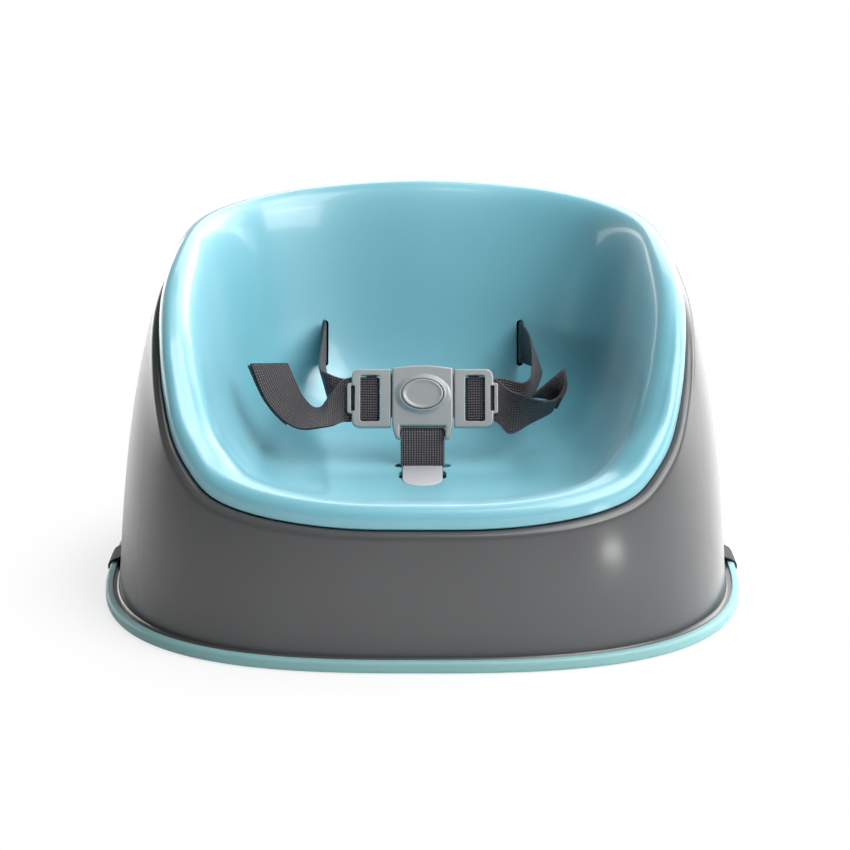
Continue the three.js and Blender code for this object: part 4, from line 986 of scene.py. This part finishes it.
def sampleWeb(stations, closed=False, easeFrom=None):
    sampled = splineThrough([np.concatenate(station) for station in stations], 1.2, closed)
    edges = [sampled[:, :3].copy(), sampled[:, 3:].copy()]
    if easeFrom is not None:
        # The loose end is eased from where it leaves its hoop.
        first = rowNear(edges, easeFrom)
        for _ in range(web["easing"]):
            for line in edges:
                line[first + 1 : -1] = 0.25 * line[first:-2] + 0.5 * line[first + 1 : -1] + 0.25 * line[first + 2 :]
    return edges


def webFrame(uppers, lowers, closed=False):
    middles = (uppers + lowers) / 2
    if closed:
        alongs = np.roll(middles, -1, axis=0) - np.roll(middles, 1, axis=0)
    else:
        alongs = np.gradient(middles, axis=0)
    acrosses = (uppers - lowers) / web["width"]
    return middles, acrosses, unit(np.cross(alongs, acrosses))


def webSection():
    # Flat faces with rounded, slightly thinner edges
    half, thick, flats = halfWeb - web["edge"], halfThick, web["flats"]
    shares = [-1 + 2 * i / flats for i in range(flats + 1)]
    section = [(u * half, thick * (1 - web["thinning"] * u**6)) for u in shares]
    for degrees in (60, 30, 0, -30, -60):
        turn = math.radians(degrees)
        section.append((half + web["edge"] * math.cos(turn), (1 - web["thinning"]) * thick * math.sin(turn)))
    return section + [(-u, -v) for u, v in section]


def webStrip(name, layers, closed=False, finish=webbing):
    section = webSection()
    count = len(section)
    points, faces, corners = [], [], []
    for uppers, lowers in layers:
        middles, acrosses, outs = webFrame(uppers, lowers, closed)
        start, rows = len(points), len(middles)
        for middle, across, out in zip(middles, acrosses, outs):
            points += [middle + across * u + out * v for u, v in section]
        steps = np.linalg.norm(np.diff(middles, axis=0), axis=1)
        lengths = list(np.concatenate([[0], np.cumsum(steps)]) / web["width"])
        lengths.append(lengths[-1] + np.linalg.norm(middles[0] - middles[-1]) / web["width"])

        def uvOf(i, j):
            return section[j % count][0] / web["width"] + 0.5, lengths[i]

        faces += gridFaces(rows, count, closed, start)
        for i in range(rows if closed else rows - 1):
            corners += [(uvOf(i, j), uvOf(i + 1, j), uvOf(i + 1, j + 1), uvOf(i, j + 1)) for j in range(count)]
        if not closed:
            for i, order in ((0, range(count)), (rows - 1, range(count)[::-1])):
                faces.append(tuple(start + i * count + j for j in order))
                corners.append([uvOf(i, j) for j in order])
    obj = newPiece(name, points, faces, 60)
    layer = obj.data.uv_layers.new(name="weave")
    layer.data.foreach_set("uv", np.array([uv for face in corners for uv in face], float).ravel())
    editedMesh(obj.data, lambda bm: bmesh.ops.recalc_face_normals(bm, faces=bm.faces))
    obj.data.materials.append(finish)
    return obj


# A hem: the last length of a strap again as a second layer on one face
def hemLayer(uppers, lowers, length, face, slip, spread):
    middles, acrosses, outs = webFrame(uppers, lowers)
    left = np.linalg.norm(middles - middles[-1], axis=1)
    rows = [i for i in range(len(middles)) if left[i] <= length]
    shares = 1 - left[rows, None] / length
    lift = face * outs[rows] * (web["thickness"] + 0.08 + spread * shares**2) + acrosses[rows] * slip * shares
    return uppers[rows] + lift, lowers[rows] + lift


stitch = {"pitch": 2.4, "length": 1.7, "thread": 0.5, "inset": 2.2, "points": 12}
stitchSizes = {
    "Pitch": stitch["pitch"] * mm, "Length": stitch["length"] * mm, "Thread": stitch["thread"] * mm,
}


def stitchTree():
    given, add, sums, finish = nodeTree("stitchRow", stitchSizes)
    path = add("GeometryNodeMeshToCurve", ("Mesh", given["Geometry"]))[0]
    points = add("GeometryNodeCurveToPoints", ("Curve", path), ("Length", given["Pitch"]), mode="LENGTH")
    turned = add("FunctionNodeAlignRotationToVector", ("Vector", points[1]), axis="Z")[0]
    bead = add("GeometryNodeMeshUVSphere", ("Segments", 8), ("Rings", 6), ("Radius", 0.5))[0]
    size = add("ShaderNodeCombineXYZ", (0, given["Thread"]), (1, given["Thread"]), (2, given["Length"]))[0]
    beads = ("Points", points[0]), ("Instance", bead), ("Rotation", turned), ("Scale", size)
    return finish(add("GeometryNodeInstanceOnPoints", *beads)[0], thread)


stitches = stitchTree()


def stitchRows(name, lines):
    points, edges = [], []
    for line in lines:
        edges += [(len(points) + i, len(points) + i + 1) for i in range(len(line) - 1)]
        points += line
    return grow(newObject(name, points, edges, []), stitches, stitchSizes)


def stitchAcross(uppers, lowers, fromEnd, face):
    middles, acrosses, outs = webFrame(uppers, lowers)
    i = int(np.argmin(np.abs(np.linalg.norm(middles - middles[-1], axis=1) - fromEnd)))
    half = halfWeb - stitch["inset"]
    lift = face * outs[i] * (halfThick + 0.02)
    return [middles[i] + acrosses[i] * u + lift for u in np.linspace(-half, half, stitch["points"])]


def edgesAt(middle, across):
    middle, across = np.array(middle, float), np.array(across, float) * web["width"] / 2
    return middle + across, middle - across


def inBuckle(x, y, z):
    return np.array(intoSpace @ Vector((x * mm, y * mm, z * mm))) / mm


flatUp = unit(np.array(intoSpace.to_3x3() @ Vector((0, 1, 0))))
waist = {
    -1: {
        "sag": 0.8,
        "keep": 0.7,
        "hem": {"length": 34, "face": 1, "slip": -0.9, "spread": 0.3},
        "run": [
            ((-60.4, 55, 128.6), (-59.6, 60, 103.6)), ((-60.4, 25, 127), (-56.5, 30, 102.6)),
            ((-60.2, 0, 126.2), (-54.5, 8, 102.3)), ((-58.8, -16, 125.6), (-53.5, -12, 102.3)),
            ((-54.6, -23.5, 125.4), (-51.5, -29, 102.4)),
        ],
        "tail": [
            ((-54, -31.8, 113.4), (-51.5, -54.2, 102.4)), ((-57.5, -32, 107.4), (-58.7, -56.2, 102.1)),
            ((-62.1, -31.1, 107), (-66.1, -54.9, 100.6)), ((-68.6, -25.4, 112.2), (-76.2, -46.6, 101.4)),
            ((-73.2, -17.2, 119.5), (-89.2, -34.8, 111.9)), ((-78, -7.4, 126.8), (-99, -20.6, 130)),
        ],
    },
    1: {
        "sag": 3.6,
        "keep": 0.85,
        "hem": {"length": 12, "face": 1, "slip": 0.2, "spread": 0.7},
        "run": [
            ((62.9, 56.7, 131.4), (64.7, 63.3, 107.4)), ((64.1, 31.2, 132.1), (71.2, 40.8, 110.2)),
            ((64, 0.5, 129.9), (69.6, 15.5, 110.7)), ((63, -18.8, 125.9), (66.1, -1.2, 108.6)),
            ((61.2, -27.7, 123), (62.4, -12.3, 103.2)), ((56.8, -29.3, 121.2), (55.6, -24.7, 97.4)),
        ],
        "tail": [
            ((50.6, -36.8, 118.2), (48.6, -42.2, 93.9)), ((54.6, -41.9, 118.3), (53.1, -38.1, 93.6)),
            ((60.7, -46.4, 117.2), (60.5, -31.6, 97)),
            ((68.7, -44.8, 114.7), (68.8, -25.2, 99.3)), ((76.3, -40.9, 114.8), (76, -20.1, 102.6)),
            ((81, -37.3, 119.7), (75, -18.7, 107.5)), ((81.3, -33.9, 125.9), (68.6, -22.1, 110)),
            ((80.7, -30.3, 129.2), (62, -25.7, 111.3)),
        ],
    },
}
skin = gap + halfThick
keeperLoop = 2 + skin


def waistStations(side):
    behind = seat["wall"] + gap + keeperLoop + web["thickness"]
    keeperX = waistSlot["x"] + keeperLoop

    def wallAt(x, depth):
        return edgesAt((side * x, *(slotMiddle + slotBack * depth)[1:]), slotUp)

    def flatAt(x, fall, z):
        return edgesAt(inBuckle(side * x, -tongue["drop"] - fall, z), flatUp)

    # Round the keeper behind the wall and out through the slot
    stations = [wallAt(keeperX + keeperLoop, behind - 5)]
    stations += [wallAt(x, depth) for x, depth in arc(keeperX, behind, keeperLoop, 0, 180, 6)]
    stations += [wallAt(waistSlot["x"], depth) for depth in (0, -10)] + waist[side]["run"]
    # Round the tongue's rod, and out under its hoop, where the loose end sags a little
    stations += [flatAt(x, 0, backLegZ) for x in (46, 36)]
    stations += [flatAt(x, 0, rodMiddle + z) for x, z in arc(tongue["rodX"], 0, legRadius, 270, 90, 6)]
    sag = waist[side]["sag"]
    exits = ((36, 0), (tongue["hoopFar"] - 1, sag / 4), (tongue["hoopFar"] + 2, sag))
    return stations + [flatAt(x, fall, frontLegZ) for x, fall in exits] + waist[side]["tail"]


for side, word in ((-1, "left"), (1, "right")):
    stations = waistStations(side)
    hoopExit = stations[-len(waist[side]["tail"]) - 2]
    edges = sampleWeb(stations, easeFrom=hoopExit)
    split = rowNear(edges, hoopExit)
    strap = webStrip(f"{word}_waist_web", [[line[: split + 1] for line in edges]])
    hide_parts(f"{word}_waist_strap")
    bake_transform(strap)
    # The loose end is a piece of its own, with a hem and the hem's stitches, and moves with its tongue.
    tail, hem = [line[split:] for line in edges], waist[side]["hem"]
    layers = [tail, hemLayer(*tail, hem["length"], hem["face"], hem["slip"], hem["spread"])]
    rows = [stitchAcross(*tail, fromEnd, -hem["face"]) for fromEnd in (2, hem["length"] - 2)]
    loose = [webStrip(f"{word}_tail_web", layers), stitchRows(f"{word}_hem_stitches", rows)]
    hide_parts(f"{word}_waist_strap")
    for piece in loose:
        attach(piece, f"tongue_{word}")
        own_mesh(piece)

# Crotch strap: a loop round the buckle's rod and the keeper under the pan
rodAt = inBuckle(0, rodY, rodZ)
lugLoop = buckle["rodRadius"] + skin
panUnder = panZ - seat["wall"]
keeperZ = panUnder - skin - keeperLoop
crotchY = crotchSlot["y"]
line = arc(rodAt[1], rodAt[2], lugLoop, 0, 180, 8)
line += [(crotchY - skin, seat["panHeight"]), (crotchY - skin, panUnder)]
line += arc(crotchY, keeperZ, keeperLoop, 150, 390, 10)
line += [(crotchY + skin, panUnder), (crotchY + skin, seat["panHeight"])]
edges = sampleWeb([edgesAt((0, y, z), (1, 0, 0)) for y, z in line], closed=True)
# The crotch strap wears the lighter copy of the webbing, with its painted light.
crotch = webStrip("crotch_web", [edges], closed=True, finish=paintedLitWebbing)
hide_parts("crotch_strap")
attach(crotch, "seat")

# Chair straps
chair = {"z": 9, "rodRadius": 1.8, "rodGap": 1, "lieX": 120, "splitX": 16, "barThickness": 3, "floorGap": 0.15}
slotRun = outline["halfWidth"] - leanAt(slots["chairZ"])
chairLoop = chair["rodRadius"] + skin
chairRodX = slotRun - base["wall"] - chairLoop - chair["rodGap"]
barLoop = chair["barThickness"] / 2 + skin
ringOuter, h, underZ = outline["halfWidth"] + ring["reach"], ring["height"], skin + chair["floorGap"]
wrap = [
    (ringOuter - 5.2, h + skin + 1.4), (ringOuter - 2.2, h + skin + 0.2), (ringOuter - 0.4, h + skin - 0.8),
    (ringOuter + skin, h * 0.7), (ringOuter + skin + 0.1, h * 0.4), (ringOuter + 0.1, underZ + 0.3),
    (ringOuter - 2, underZ), (ringOuter - 14, underZ), (ringOuter - 32, underZ + 1),
]


def chairStrap(name, side, barX, loose):
    splitX, upper, lower = barX + chair["splitX"], chair["z"] + skin, chair["z"] - skin
    line = [(chairRodX + 2.4, slots["chairZ"] - 2 * chairLoop)]
    line += arc(chairRodX, slots["chairZ"] - chairLoop, chairLoop, 270, 90, 8)
    line += [(slotRun, slots["chairZ"])] + wrap + [(chair["lieX"], chair["z"])]
    line += [(splitX + loose / 2, upper), (splitX, upper)]
    line += arc(barX, chair["z"], barLoop, 90, 270, 8)
    line += [(splitX, lower), (splitX + loose, lower - 1)]
    strap = webStrip(name, [sampleWeb([edgesAt((side * x, 0, z), (0, 1, 0)) for x, z in line])])
    return strap


leftChair = chairStrap("left_chair_web", -1, 28, 12)
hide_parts("left_chair_strap")
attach(leftChair, "seat")
rightChair = chairStrap("right_chair_web", 1, 19.5, 70)
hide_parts("right_chair_strap")
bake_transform(rightChair)
print("webbing made")

# Tab, with the hook that holds it under the pan
plate = prism(tabOutline(0), tabBottom, tabTop, tab["rounding"], "crotch_tab_skin")
hookFront, hookHalf = openFront + gap, tab["hookWidth"] / 2
hookTop, hookLow = tabBottom + tab["thickness"] / 2, panUnder - gap - tab["hookThickness"]
hook = block((-hookHalf, hookFront, hookLow), (hookHalf, hookFront + tab["hookThickness"], hookTop))
lip = block(
    (-hookHalf, hookFront - tab["hookReach"], hookLow), (hookHalf, hookFront + tab["hookThickness"] / 2, panUnder - gap)
)
combine(plate, [hook, lip], "UNION")
plate.data.materials.append(tabMaterial)
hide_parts("crotch_tab")
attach(plate, "seat")

# The chair strap's socket and plug are the CAD forms with their moulded edges rounded off.
for name, body in (("chair_buckle_socket", "seat"), ("chair_buckle_plug", "plug")):
    moulded = added(name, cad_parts[name].data.copy())
    editedMesh(moulded.data, lambda bm: bmesh.ops.remove_doubles(bm, verts=bm.verts, dist=1e-6))
    addMoulded(moulded, f"{name}_skin", body, name, voxel=0.4, rounds=3, place=Matrix())
print("small pieces made")

# Floor: away from the object the camera sees plain white, and near it the soft shadow. The fade is in metres.
ground = {"half": 6000, "z": -0.2, "fadeFrom": 0.16, "fadeTo": 0.27, "leastGlow": 0.68}
half, z = ground["half"], ground["z"]
floor = newPiece("floor", [(-half, -half, z), (half, -half, z), (half, half, z), (-half, half, z)], [(0, 1, 2, 3)])
floorMaterial, add, sums, _ = material("floor", (0.9, 0.9, 0.9), {"Roughness": 0.7, "Specular IOR Level": 0.2})
tree = floorMaterial.node_tree
place = add("ShaderNodeMapping", ("Vector", add("ShaderNodeTexCoord")["Object"]), ("Scale", (1, 1, 0)))["Vector"]
far = add("ShaderNodeVectorMath", (0, place), operation="LENGTH")["Value"]
limits = ("From Min", ground["fadeFrom"]), ("From Max", ground["fadeTo"]), ("To Min", ground["leastGlow"])
fade = add("ShaderNodeMapRange", ("Value", far), *limits, interpolation_type="SMOOTHSTEP")["Result"]
seen = sums("MULTIPLY", fade, add("ShaderNodeLightPath")["Is Camera Ray"])
glow = add("ShaderNodeEmission", ("Color", (1, 1, 1, 1)), ("Strength", 1.0))["Emission"]
lit = tree.nodes["Principled BSDF"].outputs["BSDF"]
mix = add("ShaderNodeMixShader", ("Fac", seen), (1, lit), (2, glow))["Shader"]
tree.links.new(mix, tree.nodes["Material Output"].inputs["Surface"])
floor.data.materials.append(floorMaterial)

# Camera and lights, in metres
view = {"elevation": 16.25, "distance": 1.3, "height": 0.0875, "lens": 93.6, "shift": 0.0029}
camera = added("camera", bpy.data.cameras.new("camera"))
scene.camera = camera
elevation = math.radians(view["elevation"])
backwards = Vector((0, -math.cos(elevation), math.sin(elevation)))
camera.location = Vector((0, 0, view["height"])) + backwards * view["distance"]
camera.rotation_euler = (math.pi / 2 - elevation, 0, 0)
camera.data.lens = view["lens"]
camera.data.sensor_width = 36
camera.data.shift_x = view["shift"]
camera.data.clip_start = 0.01

# The camera sees the white studio itself, glossy reflections a dimmer one and all else a dark one.
sky = {"dark": 0.025, "glossyShare": 0.2}
world = bpy.data.worlds.new("world")
scene.world = world
world.use_nodes = True
tree = world.node_tree
add, sums = adder(tree)
dark = tree.nodes["Background"]
dark.inputs["Color"].default_value = (1, 1, 1, 1)
dark.inputs["Strength"].default_value = sky["dark"]
bright = add("ShaderNodeBackground", ("Color", (1, 1, 1, 1)), ("Strength", 1.0))["Background"]
rays = add("ShaderNodeLightPath")
shares = (0, rays["Is Glossy Ray"]), (1, sky["glossyShare"]), (2, rays["Is Camera Ray"])
seen = add("ShaderNodeMath", *shares, operation="MULTIPLY_ADD", use_clamp=True)[0]
mix = add("ShaderNodeMixShader", ("Fac", seen), (1, dark.outputs["Background"]), (2, bright))["Shader"]
tree.links.new(mix, tree.nodes["World Output"].inputs["Surface"])


def softbox(name, place, target, width, height, power):
    light = bpy.data.lights.new(name, "AREA")
    light.shape = "RECTANGLE"
    light.size, light.size_y = width, height
    light.energy = power
    obj = added(name, light)
    obj.location = place
    obj.rotation_euler = (Vector(place) - Vector(target)).to_track_quat("Z", "Y").to_euler()
    return obj


heart = (0, 0, 0.1)
lamps = {
    "key": ((0.65, -0.5, 1.35), heart, 1.1, 1.0, 16.5),
    "window": ((0.92, -0.78, 0.87), (-0.08, 0.09, 0.19), 1.15, 0.5, 10.5),
    "rear": ((0.45, 1.25, 1.15), heart, 1.8, 1.3, 22),
    "rearRight": ((1.15, 1.0, 0.75), heart, 1.5, 1.2, 15),
    "side": ((1.35, 0.4, 0.3), (0.1, -0.02, 0.07), 0.8, 0.6, 4),
    "rearLeft": ((-1.1, 0.9, 0.3), heart, 1.5, 0.6, 10),
    "over": ((0.55, 0.25, 1.4), heart, 1.0, 1.0, 6),
}
for name, lamp in lamps.items():
    softbox(name, *lamp)
# A small card near the grey shell gives its front a soft glint.
glint = softbox("glint", (0.172, -0.208, 0.047), (0.1, -0.14, 0.057), 0.024, 0.01, 0.0006)
glint.data.spread = math.radians(40)
glint.visible_camera = False

scene.view_settings.view_transform = "Standard"
print("scene made")
